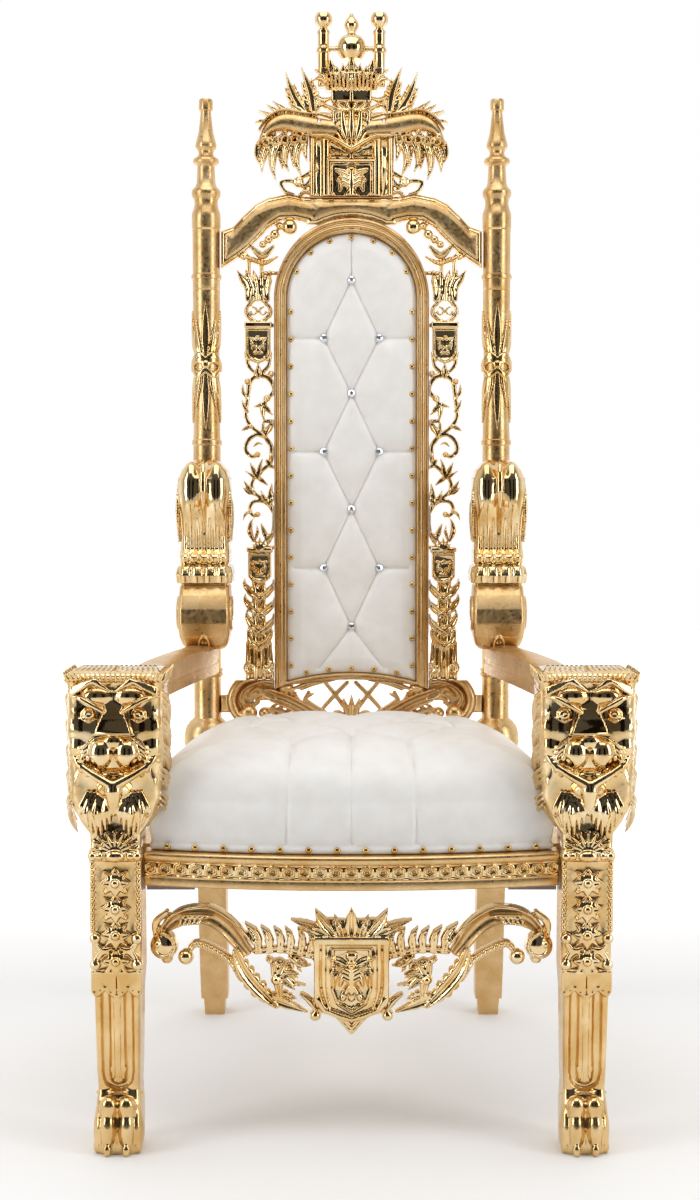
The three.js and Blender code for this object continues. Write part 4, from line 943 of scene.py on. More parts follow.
def melt(clay, cuts, inside, soft, hollow):
    """Adds a form, or hollows it out, with a fillet about as wide as soft."""
    old = clay["field"][cuts]
    a, b = (-old, inside) if hollow else (old, inside)
    fillet = soft * np.maximum(0, 1 - np.abs(a - b) / soft) ** 2 / 4
    joined = np.maximum(a, b) + fillet
    clay["field"][cuts] = -joined if hollow else joined


def egg(clay, centre, radii, soft=3, hollow=False):
    """An egg-shaped form, and its twin on the other side."""
    for side in (-1, 1) if centre[0] else (1,):
        c = (side * centre[0], *centre[1:])
        cuts, grids = near(clay, [a - r - 6 for a, r in zip(c, radii)],
            [a + r + 6 for a, r in zip(c, radii)])
        off = np.sqrt(sum(((g - a) / r) ** 2 for g, a, r in zip(grids, c, radii)))
        melt(clay, cuts, (1 - off) * min(radii), soft, hollow)


def lock(clay, points, widths, soft=1.5, hollow=False, both_sides=True):
    """A round strand along a smooth path in space, and its twin on the other side."""
    p = np.array(points, float)
    stops = np.linspace(0, len(p) - 1, 8 * len(p))
    bends = [smooth(p[:, [a, b]])[0] for a, b in ((0, 2), (1, 2))]
    share = stops / stops[-1]

    def even(c):
        return np.interp(share, np.linspace(0, 1, len(c)), c)

    path = np.column_stack([even(bends[0][:, 0]), even(bends[1][:, 0]), even(bends[1][:, 1])])
    thick = np.interp(share, np.linspace(0, 1, len(widths)), widths) / 2
    for side in (-1, 1) if both_sides and np.abs(p[:, 0]).max() > 0 else (1,):
        places = path * (side, 1, 1)
        reach = thick.max() + 4
        cuts, grids = near(clay, places.min(0) - reach, places.max(0) + reach)
        inside = np.full(grids[0].shape, -99.0)
        for (px, py, pz), r in zip(places, thick):
            inside = np.maximum(inside,
                r - np.sqrt((grids[0] - px) ** 2 + (grids[1] - py) ** 2 + (grids[2] - pz) ** 2))
        melt(clay, cuts, inside, soft, hollow)


print("clay has a grid step of", CLAY, "mm")

# %% [markdown]
# The leg's body. Each row is a height, the half width there, and the front and back faces.

# %% Body of the front leg
LEG_X = 347
BODY = np.array([
    (0, 30, -374, -304), (12, 34, -376, -302), (60, 34, -366, -298), (92, 31, -352, -290), (120, 32, -356,
        -286),
    (236, 34, -360, -286), (270, 37, -362, -287), (440, 37, -362, -287), (478, 38, -362, -287), (496, 52,
        -361, -262),
    (530, 66, -361, -246), (600, 70, -361, -243), (690, 70, -361, -243), (704, 71, -362, -240), (712, 70,
        -361, -241),
    (718, 62, -354, -248),
])
leg = new_clay(80, -392, -232, -4, 722)
X, Y, Z = np.meshgrid(leg["x"], leg["y"], leg["z"], indexing="ij")
wide, front, rear = (np.interp(leg["z"], BODY[:, 0], BODY[:, k]) for k in (1, 2, 3))
corner = np.interp(leg["z"], [0, 90, 440, 490, 600, 718], [12, 9, 6, 10, 20, 16])
ox = np.abs(X) - wide + corner
oy = np.abs(Y - (front + rear) / 2) - (rear - front) / 2 + corner
leg["field"] = corner - np.hypot(np.maximum(ox, 0), np.maximum(oy, 0)) - np.minimum(np.maximum(ox, oy), 0)
leg["field"] = np.minimum(leg["field"], 716 - Z)
print("clay of a leg", leg["field"].shape)

# %% [markdown]
# The paw has two toes in front and one on each side, with claws and a knuckle fold above.

# %% Paw
egg(leg, (14, -362, 34), (14, 22, 34), 3)
egg(leg, (29, -348, 30), (9, 24, 30), 3)
egg(leg, (13, -366, 70), (13, 12, 16), 5)
egg(leg, (14, -382, 9), (6, 5, 9), 2)
egg(leg, (31, -366, 9), (5, 6, 9), 2)
lock(leg, [(0, -382, 10), (0, -380, 50), (0, -366, 84)], [4, 4, 3], 2, hollow=True)
lock(leg, [(25, -374, 8), (25, -374, 40), (24, -362, 62)], [3, 3, 2], 2, hollow=True)
lock(leg, [(0, -360, 92), (20, -358, 90), (34, -340, 84)], [5, 5, 4], 3)
print("shaped the paw")

# %% [markdown]
# The lion's face: a blunt muzzle with round pads, a broad flat nose, frowning brows that run down
# to it, small round eyes, an open mouth with a curling lower lip, and a beard over the leg.

# %% Lion's face
egg(leg, (0, -350, 590), (48, 22, 44), 9)
egg(leg, (46, -352, 632), (22, 14, 24), 8)
egg(leg, (52, -356, 606), (14, 10, 14), 6)
egg(leg, (24, -359, 682), (23, 14, 15), 3)
cuts, (gx, gy, gz) = near(leg, (-40, -392, 620), (40, -340, 690))
bridge = np.minimum(np.interp(gz, [628, 672], [28, 13]) - np.abs(gx),
    gy - np.interp(gz, [628, 650, 676], [-383, -378, -366]))
melt(leg, cuts, np.minimum(bridge, gz - 627) - 1, 3, False)
egg(leg, (0, -371, 617), (15, 9, 11), 3)
egg(leg, (19, -366, 599), (19, 18, 23), 1.5)
egg(leg, (37, -374, 656), (17, 9, 12), 4, hollow=True)
egg(leg, (37, -363, 656), (10, 8, 9), 1.5)
egg(leg, (36, -372, 656), (3.6, 4, 3.6), 1, hollow=True)
lock(leg, [(26, -368, 650), (37, -371, 645), (50, -366, 652)], [3, 4, 3], 1.5)
lock(leg, [(14, -374, 661), (34, -375, 671), (52, -370, 680), (66, -360, 682)], [6, 8, 8, 4], 2)
lock(leg, [(0, -376, 700), (0, -372, 672)], [4, 3], 2, hollow=True)
for k in range(3):
    lock(leg, [(30, -370, 622 - 7 * k), (46, -369, 608 - 6 * k), (66, -356, 604 - 9 * k)], [3, 5, 3], 2)
lock(leg, [(58, -364, 660), (64, -358, 636), (60, -358, 616)], [3, 4, 3], 1.5)
egg(leg, (0, -378, 569), (19, 18, 9), 2, hollow=True)
egg(leg, (38, -374, 580), (15, 14, 14), 3, hollow=True)
for x, z in ((30, 589), (38, 592), (46, 590), (31, 570), (40, 569), (48, 576), (8, 560), (17, 562)):
    egg(leg, (x, -365, z), (4, 7, 6), 1)
lock(leg, [(0, -380, 553), (18, -380, 554), (36, -376, 562), (52, -369, 576), (60, -360, 594)],
    [15, 14, 11, 9, 5], 2)
egg(leg, (0, -366, 545), (24, 14, 14), 5)
lock(leg, [(0, -376, 545), (0, -374, 528), (0, -368, 510)], [26, 20, 9], 2)
lock(leg, [(50, -360, 572), (58, -356, 548), (50, -354, 524)], [6, 8, 4], 2)
print("face modelled")

# %% [markdown]
# Hair: arcs that part over the brow, a toothed fringe round the top, locks down both cheeks and
# along the sides of the head, and long strands of the beard that hang over the leg.

# %% Mane and beard
for k in range(4):
    lock(leg, [(3 + 2 * k, -373, 690 + 2 * k), (22 + 2 * k, -377, 704 + 1.5 * k), (46, -374, 704 - 2.5 * k),
        (66, -364, 694 - 4 * k)],
         [3, 5, 5, 3], 1)
for k in range(10):
    lock(leg, [(3.5 + 7 * k, -364 + 0.05 * k * k, 706), (3.5 + 7.6 * k, -371 + 0.08 * k * k, 717)], [7, 3],
        1)
for k in range(12):
    lock(leg, [(70, -352 + 10 * k, 704), (75, -352 + 10 * k, 717)], [8, 3], 1)
for k in range(8):
    lock(leg, [(7 + 8 * k, -346, 715), (4 + 7 * k, -300, 718), (2 + 6 * k, -252, 715)], [6, 8, 4], 1)
for k, (x, low) in enumerate(((7, 494), (14, 486), (21, 478), (28, 474), (35, 480), (42, 490), (49, 504))):
    lock(leg, [(x * 0.8, -366, 536 + k), (x * 1.05, -373 + k, 514), (x * 0.95, -368 + k, low)], [6, 9, 3],
        1)
for k, (x, low) in enumerate(((11, 500), (24, 484), (38, 486))):
    lock(leg, [(x, -370, 530), (x * 1.1, -376 + k, 512), (x, -372, low + 6)], [4, 7, 2], 1)
for row in range(5):
    z = 690 - 38 * row
    for strand in range(3):
        top = z - 9 * strand
        lock(leg, [(66, -350, top), (73 - strand, -330, top - 12), (74 - strand, -300, top - 34),
            (70, -262, top - 58)],
             [5, 9, 8, 3], 1)
for k in range(5):
    lock(leg, [(60 - 6 * k, -346 + 4 * k, 540 - 4 * k), (60 - 6 * k, -340 + 8 * k, 514 - 5 * k),
        (44 - 3 * k, -330 + 10 * k, 484)],
         [6, 9, 3], 1)
for row in range(4):
    for strand in range(5):
        lock(leg, [(10 + 13 * strand, -246, 690 - 42 * row), (13 + 13 * strand, -241, 668 - 42 * row),
            (8 + 12 * strand, -244, 642 - 42 * row)],
             [5, 8, 3], 1)
print("mane modelled")

# %% [markdown]
# The front of the leg is flat relief again: a collar of beads, four flowers between beaded edges,
# a scalloped lappet, and two flutes that meet in a loop round a central rib.

# %% Flowered panel and flutes
panel = blank(0, 44, 80, 486, CLAY)
for k in range(5):
    angle = math.radians(90 - 21 * k)
    carve(panel, [(0, 452), (20 * math.cos(angle), 452 + 17 * math.sin(angle)),
        (34 * math.cos(angle), 452 + 29 * math.sin(angle))],
            [3, 7, 4], 7, wall=0.3)
bar(panel, 0, 39, 438, 455, 5, 2)
boss(panel, 0, 446.5, 16, 15, 0.2, stretch=0.62)
boss(panel, 22, 446.5, 6.5, 11, 0.3)
boss(panel, 33, 446.5, 7.5, 12, 0.3)
for k in range(12):
    boss(panel, 34, 338 + 8.6 * k, 3.4, 6)
carve(panel, [(35, 334), (35, 436)], [6, 6], 3.4, wall=0.7)
for k in range(4):
    z = 406 - 39 * k
    for turn in range(0, 360, 90):
        angle = math.radians(turn)
        tip = (20 * math.cos(angle), z + 20 * math.sin(angle))
        if tip[0] > -1:
            carve(panel, [(0, z), ((tip[0]) * 0.5, z + (tip[1] - z) * 0.5), tip], [12, 17, 2], 8, wall=0.45,
                groove=0.25)
    carve(panel, [(0, z), (9, z + 9), (16, z + 16)], [8, 9, 2], 5.5, wall=0.4)
    carve(panel, [(0, z), (9, z - 9), (16, z - 16)], [8, 9, 2], 5.5, wall=0.4)
    boss(panel, 0, z, 9.5, 8, 0.8)
    boss(panel, 0, z, 6.5, 14, 0.6)
for z in (323, 284):
    boss(panel, 31, z, 8, 10)
    boss(panel, 31, z, 3.5, 12)
carve(panel, [(8, 308), (20, 304), (31, 318)], [6, 10, 7], 7, wall=0.4, groove=0.2)
carve(panel, [(8, 308), (20, 304), (31, 290)], [6, 10, 7], 7, wall=0.4, groove=0.2)
slab(panel, [(0, 276), (37.5, 276), (37.5, 241), (31, 233), (24, 237), (17, 244), (9, 236), (0, 231)], 4.5,
    2)
for x, z in ((33, 241), (24, 243), (9, 241), (0, 237), (17, 249)):
    boss(panel, x, z, 2, 6.6)
groove = blank(0, 44, 80, 486, CLAY)
carve(groove, [(17, 236), (17, 150), (17, 116), (12, 101), (0, 95)], [13, 14, 14, 13, 12], 8, wall=0.35)
rib = blank(0, 44, 80, 486, CLAY)
carve(rib, [(0, 230), (0, 112)], [11, 9], 4, wall=0.3)
boss(rib, 0, 108, 7, 5)


def map_at(board, key):
    """A board's map on the clay's own x and z grid, mirrored about the middle."""
    half = len(leg["x"]) // 2
    i = np.abs(np.arange(len(leg["x"])) - half)
    j = np.round((leg["z"] - board["z"][0, 0]) / CLAY).astype(int)
    good = (i[:, None] < board["x"].shape[0]) & (j[None] >= 0) & (j[None] < board["x"].shape[1])
    values = board[key][np.minimum(i, board["x"].shape[0] - 1)[:, None],
        np.clip(j, 0, board["x"].shape[1] - 1)[None]]
    return np.where(good, values, -99.0 if key == "rise" else OUTSIDE)


out = front[None, None, :] - Y    # how far a place stands in front of the leg's face
hollow = np.where(map_at(groove, "edge") > 0, map_at(groove, "rise"), 0)
fluted = hollow[:, None, :] > 0
leg["field"] = np.where(fluted, np.minimum(leg["field"], -out - hollow[:, None, :]), leg["field"])
for relief in (panel, rib):
    form = np.minimum(map_at(relief, "rise")[:, None, :] - out, map_at(relief, "edge")[:, None, :])
    leg["field"] = np.maximum(leg["field"], np.minimum(form, out + 9))
leg["field"] = np.minimum(leg["field"], Z - 0.01)
points, faces = surface_net(leg["field"], (leg["x"][0], leg["y"][0], leg["z"][0]), (CLAY,) * 3)
centre = points[faces].mean(1)
flat_part = ((centre[:, 2] < 436) & ~((centre[:, 1] < -366) & (centre[:, 2] > 270))).astype(int)
for side, name in SIDES:
    place = points * (side, 1, 1) + (side * LEG_X, 0, 0)
    made = add_piece("lion_leg_" + name, place * MM, faces if side > 0 else faces[:, ::-1],
        [polished, burnished], flat_part)
    thin_out(made, 0.42)
    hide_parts("front_leg_" + name)
print("made both lion legs, the last with", len(made.data.polygons), "faces")

# %% [markdown]
# The frame of the back panel is a moulding that runs round an arched outline. Its section is a
# function of the distance from the opening, so the mouldings meet cleanly at the lower corners:
# a bead at the opening, a broad round, a quirk and an outer fillet.

# %% Panel frame


def opening(x, z):
    """Distance outside the panel's opening, below zero over the leather."""
    low = PANEL_LOW + PANEL_RISE * (1 - (x / PANEL_HALF) ** 2)
    arch = np.where(z > SPRING, np.hypot(x, z - SPRING), np.abs(x)) - PANEL_HALF
    return np.maximum(arch, low - z)


moulding = blank(0, 142, 186, 1044)
out = opening(moulding["x"], moulding["z"])
moulding["edge"] = np.minimum(out, frame_inside(moulding["x"], moulding["z"], 0))
SECTION = ((0, 22), (1.5, 27), (3.5, 28.5), (5.5, 27), (6.5, 23), (8, 25.5), (11, 27), (14, 25.5),
    (16, 21.5), (18, 20.5), (20, 22), (23, 17), (30, 14))
moulding["rise"] = np.interp(out, *zip(*SECTION))
board_piece("panel_moulding", moulding, [satin], 0.30, "panel_frame", back=-6)

# %% [markdown]
# The crest rail: two satin wings with chamfered edges, burnished brighter than their faces.

# %% Crest rail
wings = blank(0, 236, 940, 1086)
upper, lower_edge = wing_edges(wings["x"])
inside = np.minimum(upper - wings["z"], wings["z"] - lower_edge) * 0.85
inside = np.minimum(inside, 234.8 - wings["x"])
middle = inside_outline(wings, [(-80, 1026), (80, 1026), (80, 1074), (-80, 1074)])
wings["edge"] = np.minimum(np.maximum(inside, middle), -frame_inside(wings["x"], wings["z"]))
rim = np.clip(wings["edge"] / 7, 0, 1)
wings["rise"] = 18 + 6 * rim + 3 * np.clip((wings["edge"] - 7) / 12, 0,
    1) - 2.5 * np.exp(-((wings["edge"] - 7.5) / 1.3) ** 2)
wings["finish"] = (wings["edge"] > 7).astype(int)
board_piece("crest_wings", wings, [polished, satin], 0.30, "crest_rail", back=-8)

# %% [markdown]
# The back pad is foam under leather, pulled in by the buttons. Folds run from button to button in
# diamonds, up to the arch from the top one and out to the sides from the paired ones. Pressing
# the leather in along those lines gives the same swelling between them as real tufting.

# %% Tufted back pad
BUTTON_STEP = ((0, 927), (50, 823), (0, 724), (50, 619), (0, 516), (50, 409), (0, 303.5))
buttons = [(s * x, z) for x, z in BUTTON_STEP for s in ((1, -1) if x else (1,))]
folds = [((0, 927), (0, 1012))]
for (ax, az), (bx, bz) in zip(BUTTON_STEP, BUTTON_STEP[1:]):
    folds.append(((ax, az), (bx, bz)))
folds += [((50, z), (120, z)) for x, z in BUTTON_STEP if x]
folds.append(((0, 303.5), (60, 226)))
PAD_LOW, PAD_CELL, PAD_BACK = 200, 2.0, 4
pad = blank(0, 118, PAD_LOW, 1012, PAD_CELL)
room = -opening(pad["x"], pad["z"]) - 0.4
pad["edge"] = room


def to_line(x, z, a, b):
    """Distance from a straight line between two points."""
    vx, vz = b[0] - a[0], b[1] - a[1]
    t = np.clip(((x - a[0]) * vx + (z - a[1]) * vz) / (vx * vx + vz * vz), 0, 1)
    return np.hypot(x - a[0] - t * vx, z - a[1] - t * vz)


nearest_fold = np.min([to_line(pad["x"], pad["z"], a, b) for a, b in folds], axis=0)
nearest_button = np.min([np.hypot(pad["x"] - x, pad["z"] - z) for x, z in buttons], axis=0)
swell = 1 - np.exp(-nearest_fold / 16)
crown = np.clip(room / 26, 0, 1) ** 0.6
pad["rise"] = 14 + 13 * crown * (0.2 + 0.8 * swell)
pad["rise"] -= 3.2 * np.exp(-((nearest_fold / 2.6) ** 2)) * (room > 9)
pad["rise"] -= 5.5 * np.exp(-nearest_button / 9)
made = board_piece("back_pad", pad, [leather], 0.36, "back_panel", back=-4)


def pad_rise(x, z):
    """How far the leather stands in front of the back's plane."""
    column, row = round(abs(x) / PAD_CELL), round((z - PAD_LOW) / PAD_CELL)
    return float(pad["rise"][column, row]) - PAD_BACK


print("tufted the pad at", len(buttons), "buttons")

# %% [markdown]
# Buttons are cut crystal: a girdle, a ring of facets and a flat table, flat shaded so that every
# facet flashes. Each is turned anew from the same profile.

# %% Crystal buttons


def finish_object(name, material, replaces=(), smooth_angle=None):
    """Applies the placed object's transform, names it and gives it its finish."""
    made = bpy.context.object
    bpy.ops.object.transform_apply(location=True, rotation=True, scale=True)
    made.name = made.data.name = name
    made.data.materials.clear()
    made.data.materials.append(material)
    if smooth_angle:
        bpy.ops.object.shade_smooth_by_angle(angle=math.radians(smooth_angle))
    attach(made, "root")
    for node in replaces:
        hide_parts(node)
    return made


def lathe(profile, around, place=(0, 0, 0), turn=(0, 0, 0)):
    """Turns a profile of (radius, height) in mm: each ring is extruded from the last and scaled."""
    radius, height = profile[0]
    bpy.ops.object.select_all(action="DESELECT")
    bpy.ops.mesh.primitive_circle_add(vertices=around, radius=radius * MM, fill_type="NGON",
        location=(0, 0, height * MM))
    bpy.ops.object.mode_set(mode="EDIT")
    bpy.ops.mesh.select_all(action="SELECT")
    for (r0, z0), (r1, z1) in zip(profile, profile[1:]):
        bpy.ops.mesh.extrude_region_move(TRANSFORM_OT_translate={"value": (0, 0, (z1 - z0) * MM)})
        bpy.ops.transform.resize(value=(r1 / r0, r1 / r0, 1))
    bpy.ops.mesh.select_all(action="SELECT")
    bpy.ops.mesh.normals_make_consistent(inside=False)
    bpy.ops.object.mode_set(mode="OBJECT")
    bpy.ops.object.transform_apply(location=True)
    made = bpy.context.object
    made.location, made.rotation_euler = place, turn
    return made


GEM = ((7.4, -6), (8.2, 0), (8.2, 1.2), (5.9, 3.6), (3.2, 4.8))
for k, (x, z) in enumerate(sorted(buttons, key=lambda b: (-b[1], b[0]))):
    lathe(GEM, 9, place=lean(x, pad_rise(x, z) + 8, z), turn=(math.radians(90) - LEAN, 0, 0))
    finish_object("crystal_button_%d" % (k + 1), crystal, ["button_%d" % (k + 1)])
print("set", len(buttons), "buttons")

# %% [markdown]
# Round brass nails hold the leather: one row follows the panel's opening and one the seat's front.
# A nail is a low dome with few faces, repeated by copying its points.

# %% Nails
bpy.ops.mesh.primitive_uv_sphere_add(segments=10, ring_count=8, radius=1)
nail = bpy.context.object
bpy.ops.object.mode_set(mode="EDIT")
bpy.ops.mesh.select_all(action="SELECT")
bpy.ops.mesh.bisect(plane_co=(0, 0, -0.1), plane_no=(0, 0, 1), clear_inner=True, use_fill=True)
bpy.ops.object.mode_set(mode="OBJECT")
dome_points = np.array([v.co for v in nail.data.vertices])
nail.data.calc_loop_triangles()
dome_faces = np.array([t.vertices for t in nail.data.loop_triangles])
bpy.data.objects.remove(nail)


def nail_row(name, places, outward, radius=5.2, height=3.4):
    """Copies of the dome at the places, all facing one way."""
    outward = Vector(outward).normalized()
    turn = np.array(outward.to_track_quat("Z", "Y").to_matrix())
    one = (dome_points * (radius, radius, height)) @ turn.T * MM
    points = np.concatenate([one + p for p in places])
    faces = np.concatenate([dome_faces + k * len(one) for k in range(len(places))])
    made = add_piece(name, points, faces, [brass])


inset, pitch = 8, 49
straight = np.arange(232, SPRING + 10, pitch)
round_top = [math.radians(a) for a in (26, 48, 69, 90, 111, 132, 154)]
spots = [(s * (PANEL_HALF - inset), z) for z in straight for s in (1, -1)]
spots += [((PANEL_HALF - inset) * math.cos(a),
    SPRING + (PANEL_HALF - inset) * math.sin(a)) for a in round_top]
spots += [(x, PANEL_LOW + PANEL_RISE * (1 - (x / PANEL_HALF) ** 2) + 8) for x in (-82, -41, 0, 41, 82)]
nail_row("back_nails", [lean(x, pad_rise(x, z) + 0.2, z) for x, z in spots],
    (0, -math.cos(LEAN), math.sin(LEAN)))
print("set", len(spots), "nails round the back")

# %% [markdown]
# The posts are turned on a lathe: a vase foot, rings, a long shaft and a stepped finial.

# %% Back posts
POST_X = 262
POST = (
    (27, 21), (27.5, 24), (27.5, 55), (30, 60), (35, 68), (40.5, 78), (43.5, 92), (43, 106), (39, 121), (32,
        130), (26, 135),
    (25, 137), (25, 211), (27.4, 212), (28.4, 215), (27.2, 218), (25.6, 219), (27.2, 220), (28.4,
        223), (27.2, 226), (25, 227),
    (24.5, 629), (26.6, 631), (27.2, 635), (26.6, 639), (24.5, 641), (24, 660), (22.5, 700), (23, 774), (23,
        850), (24.3, 880),
    (24.5, 908), (23.8, 909), (24.5, 910), (24.5, 928), (26.6, 929), (27.4, 933), (26.6, 937), (24.5,
        938), (24.7, 1014),
    (25.4, 1016), (24.6, 1018), (25.9, 1022), (25.9, 1040), (25.5, 1047), (22.4, 1055), (20.6, 1064), (21.4,
        1072), (25.2, 1078),
    (26, 1083), (25.2, 1088), (19.5, 1094), (17.3, 1100), (16.4, 1112), (15.4, 1130), (17.4, 1133), (22,
        1136), (23.4, 1140),
    (22, 1144), (14.4, 1149), (12.8, 1154), (14, 1159), (18.4, 1164), (18.8, 1169), (17.4, 1175), (13.4,
        1190), (11.4, 1206),
    (9.4, 1226), (9.6, 1229), (12.2, 1231), (12.4, 1234), (12.4, 1247), (11.4, 1250),
)
back_turn = (-LEAN, 0, 0)
for side, name in SIDES:
    lathe(POST, 40, place=lean(side * POST_X, 0, 0), turn=back_turn)
    finish_object("turned_post_" + name, satin, ["back_post_" + name], 35)
print("turned two posts of", len(POST), "rings")

# %% [markdown]
# Spear leaves and a ribbon bow are carved round the middle of each post. They are drawn flat, as
# a board as wide as the shaft's girth, and wrapped round it.

# %% Carving round the posts
GIRTH = math.pi * 24.5
wrap = blank(0, GIRTH / 2 + 2, 640, 900)
for z, reach, x0 in ((790, 96, 0), (786, 70, 20), (788, 84, 38)):
    carve(wrap, [(x0 * 0.4, z), (x0 * 0.8, z + reach * 0.4), (x0, z + reach)], [8, 19, 13, 2], 5.2,
        wall=0.2, groove=0.3)
for z, reach, x0 in ((760, 104, 0), (764, 66, 20), (760, 88, 38)):
    carve(wrap, [(x0 * 0.5, z), (x0 * 0.8, z - reach * 0.4), (x0, z - reach)], [8, 18, 12, 2], 5, wall=0.2,
        groove=0.3)
for z, drop in ((774, 8), (766, -10), (782, 10)):
    carve(wrap, [(0, z), (14, z + drop), (28, z), (38, z - drop)], [9, 11, 9, 8], 6.4, wall=0.3, groove=0.2)
boss(wrap, 0, 774, 8, 7.4)
points, faces, finish = mesh_board(wrap, across=True)
for side, name in SIDES:
    turns = points[:, 0] / 24.5 * 0.98
    radius = np.maximum(points[:, 1], -2.0) + 22.6
    place = lean(side * POST_X + radius * np.sin(turns), radius * np.cos(turns), points[:, 2])
    made = add_piece("post_leaves_" + name, place, faces[:, ::-1], [burnished])
    thin_out(made, 0.36)
print("wrapped leaves round both posts")

# %% [markdown]
# The small gallery on the crest: two ringed columns with balls, and a dome with a bud.

# %% Gallery
COLUMN = (
    (11.5, 1293), (11.5, 1300), (10, 1302), (10, 1328), (12.6, 1330), (12.8, 1334), (12.4, 1337), (10.4,
        1339), (10, 1341),
    (10, 1362), (11.4, 1364), (11.4, 1368), (9, 1370), (6.8, 1373), (9, 1376), (13, 1380), (15.6,
        1386), (15.4, 1393),
    (12.4, 1399), (6, 1401.6),
)
for side, name in SIDES:
    lathe(COLUMN, 24, place=lean(side * 50, 12, 0), turn=back_turn)
    finish_object("gallery_column_" + name, polished, ["turret_" + name], 35)
DOME = (
    (17, 1318), (18, 1320), (23, 1326), (26, 1334), (26, 1341), (23.5, 1350), (18, 1357), (11, 1361), (8.5,
        1363), (7.6, 1366),
    (9, 1369), (12, 1374), (13, 1379), (11, 1386), (6.6, 1392), (3.4, 1397), (1, 1401),
)
lathe(DOME, 28, place=lean(0, 12, 0), turn=back_turn)
dome = finish_object("gallery_dome_bud", polished, ["gallery_dome"], 40)
for side, name in SIDES:
    lathe(((4.5, 0), (5.2, 3), (4.2, 6), (4.2, 12), (5.2, 15)), 14, place=lean(side * 24, 12, 1337),
        turn=(0, side * math.radians(90), 0))
    finish_object("gallery_tie_" + name, polished)
print("made the gallery:", dome.name, "and two columns")

# %% [markdown]
# The front seat rail bows forward. It is drawn flat: a broad ovolo on top, a sunk band of round
# hexagonal cups with a pearl in each, and a plain fillet below. Then it is bent to its bow.

# %% Front seat rail
RAIL_LOW, RAIL_TOP = 397, 449
RAIL_BACK, RAIL_BOW = -305, 39     # rear face, and how far the middle stands out
CUP_PITCH, CUP_Z = 23, 423.5
RAIL_HALF = LEG_X - 39.5
rail = blank(0, RAIL_HALF, RAIL_LOW - 1.5, RAIL_TOP + 1.5)
rail["edge"] = np.minimum(np.minimum(rail["z"] - RAIL_LOW, RAIL_TOP - rail["z"]), RAIL_HALF - rail["x"])
RAIL_SECTION = ((397, 34), (399, 35.5), (409, 35.5), (411.5, 34), (413, 31.4), (414, 30), (433, 30),
    (434, 32), (436, 36.5), (439, 38.8), (443, 40), (446, 39.4), (449, 36))
rail["rise"] = np.interp(rail["z"], *zip(*RAIL_SECTION))
for k in range(14):
    across, up = rail["x"] - CUP_PITCH * k, rail["z"] - CUP_Z
    off, turn = np.hypot(across, up), np.arctan2(up, across)
    six = off * (1 + 0.07 * np.cos(6 * turn))
    rail["rise"] += 5.2 * np.exp(-(((six - 7.4) / 1.7) ** 2)) - 2.5 * np.clip((6 - off) / 2, 0,
        1) + 4.5 * np.sqrt(np.clip(1 - (off / 2.9) ** 2, 0, 1))
    gap = np.hypot(across - CUP_PITCH / 2, up * 0.35)
    rail["rise"] += 2.2 * np.exp(-((gap / 1.8) ** 2))
rail["finish"] = ((rail["z"] < 413) | (rail["z"] > 434)).astype(int)
points, faces, finish = mesh_board(rail, across=True)
bow = RAIL_BOW * (1 - (points[:, 0] / RAIL_HALF) ** 2)
forward = points[:, 1] + bow * np.clip(points[:, 1] / 6, 0, 1)
place = np.column_stack([points[:, 0], RAIL_BACK - forward, points[:, 2]]) * MM
made = add_piece("beaded_rail", place, faces[:, ::-1], [polished, satin], finish)
thin_out(made, 0.42)
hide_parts("seat_rail_front")
print("made", made.name, "with", len(made.data.polygons), "faces")

# %% [markdown]
# The arms: a shaped rail with a rounded top and a long groove on each face, lofted between
# sections, from behind the lion's mane to the post.

# %% Arm rails
SECTION_HALF = (
    (-1, 0.0), (-1, 0.32), (-0.93, 0.36), (-0.93, 0.44), (-1, 0.48), (-1, 0.86), (-0.92, 0.97), (-0.7, 1.0),
    (-0.2, 1.03), (0.2, 1.03), (0.7, 1.0), (0.92, 0.97), (1, 0.86), (1, 0.48), (0.93, 0.44), (0.93,
        0.36), (1, 0.32), (1, 0.0),
    (0.8, -0.03), (-0.8, -0.03),
)
STATIONS = ((313, -240, 25, 667, 711), (311, -200, 26, 664, 713), (303, -100, 26, 661, 713),
    (288, 40, 26, 658, 711),
            (272, 170, 26, 655, 708), (265, 262, 26, 652, 706))
for side, name in SIDES:
    rings = [[(side * (x + sx * half), y, low + sz * (high - low - 2)) for sx, sz in SECTION_HALF] for x, y,
        half, low, high in STATIONS]
    n = len(SECTION_HALF)
    points = np.array(rings).reshape(-1, 3)
    quads = [(r * n + k, r * n + (k + 1) % n, (r + 1) * n + (k + 1) % n,
        (r + 1) * n + k) for r in range(len(rings) - 1) for k in range(n)]
    mesh = bpy.data.meshes.new("arm")
    mesh.from_pydata((points * MM).tolist(), [],
        quads + [tuple(range(n)), tuple(range(len(points) - n, len(points)))])
    made = bpy.data.objects.new("arm_rail_" + name, mesh)
    bpy.context.scene.collection.objects.link(made)
    bpy.ops.object.select_all(action="DESELECT")
    made.select_set(True)
    bpy.context.view_layer.objects.active = made
    bpy.ops.object.mode_set(mode="EDIT")
    bpy.ops.mesh.select_all(action="SELECT")
    bpy.ops.mesh.normals_make_consistent(inside=False)
    bpy.ops.object.mode_set(mode="OBJECT")
    finish_object("arm_rail_" + name, satin, ["arm_" + name], 30)
print("lofted two arms through", len(STATIONS), "sections")

# %% [markdown]
# The scroll bracket climbs the post above each arm: a satin drum with a notch, two rows of
# scallops, and a waisted flower of two great polished petals with a small pointed leaf between.

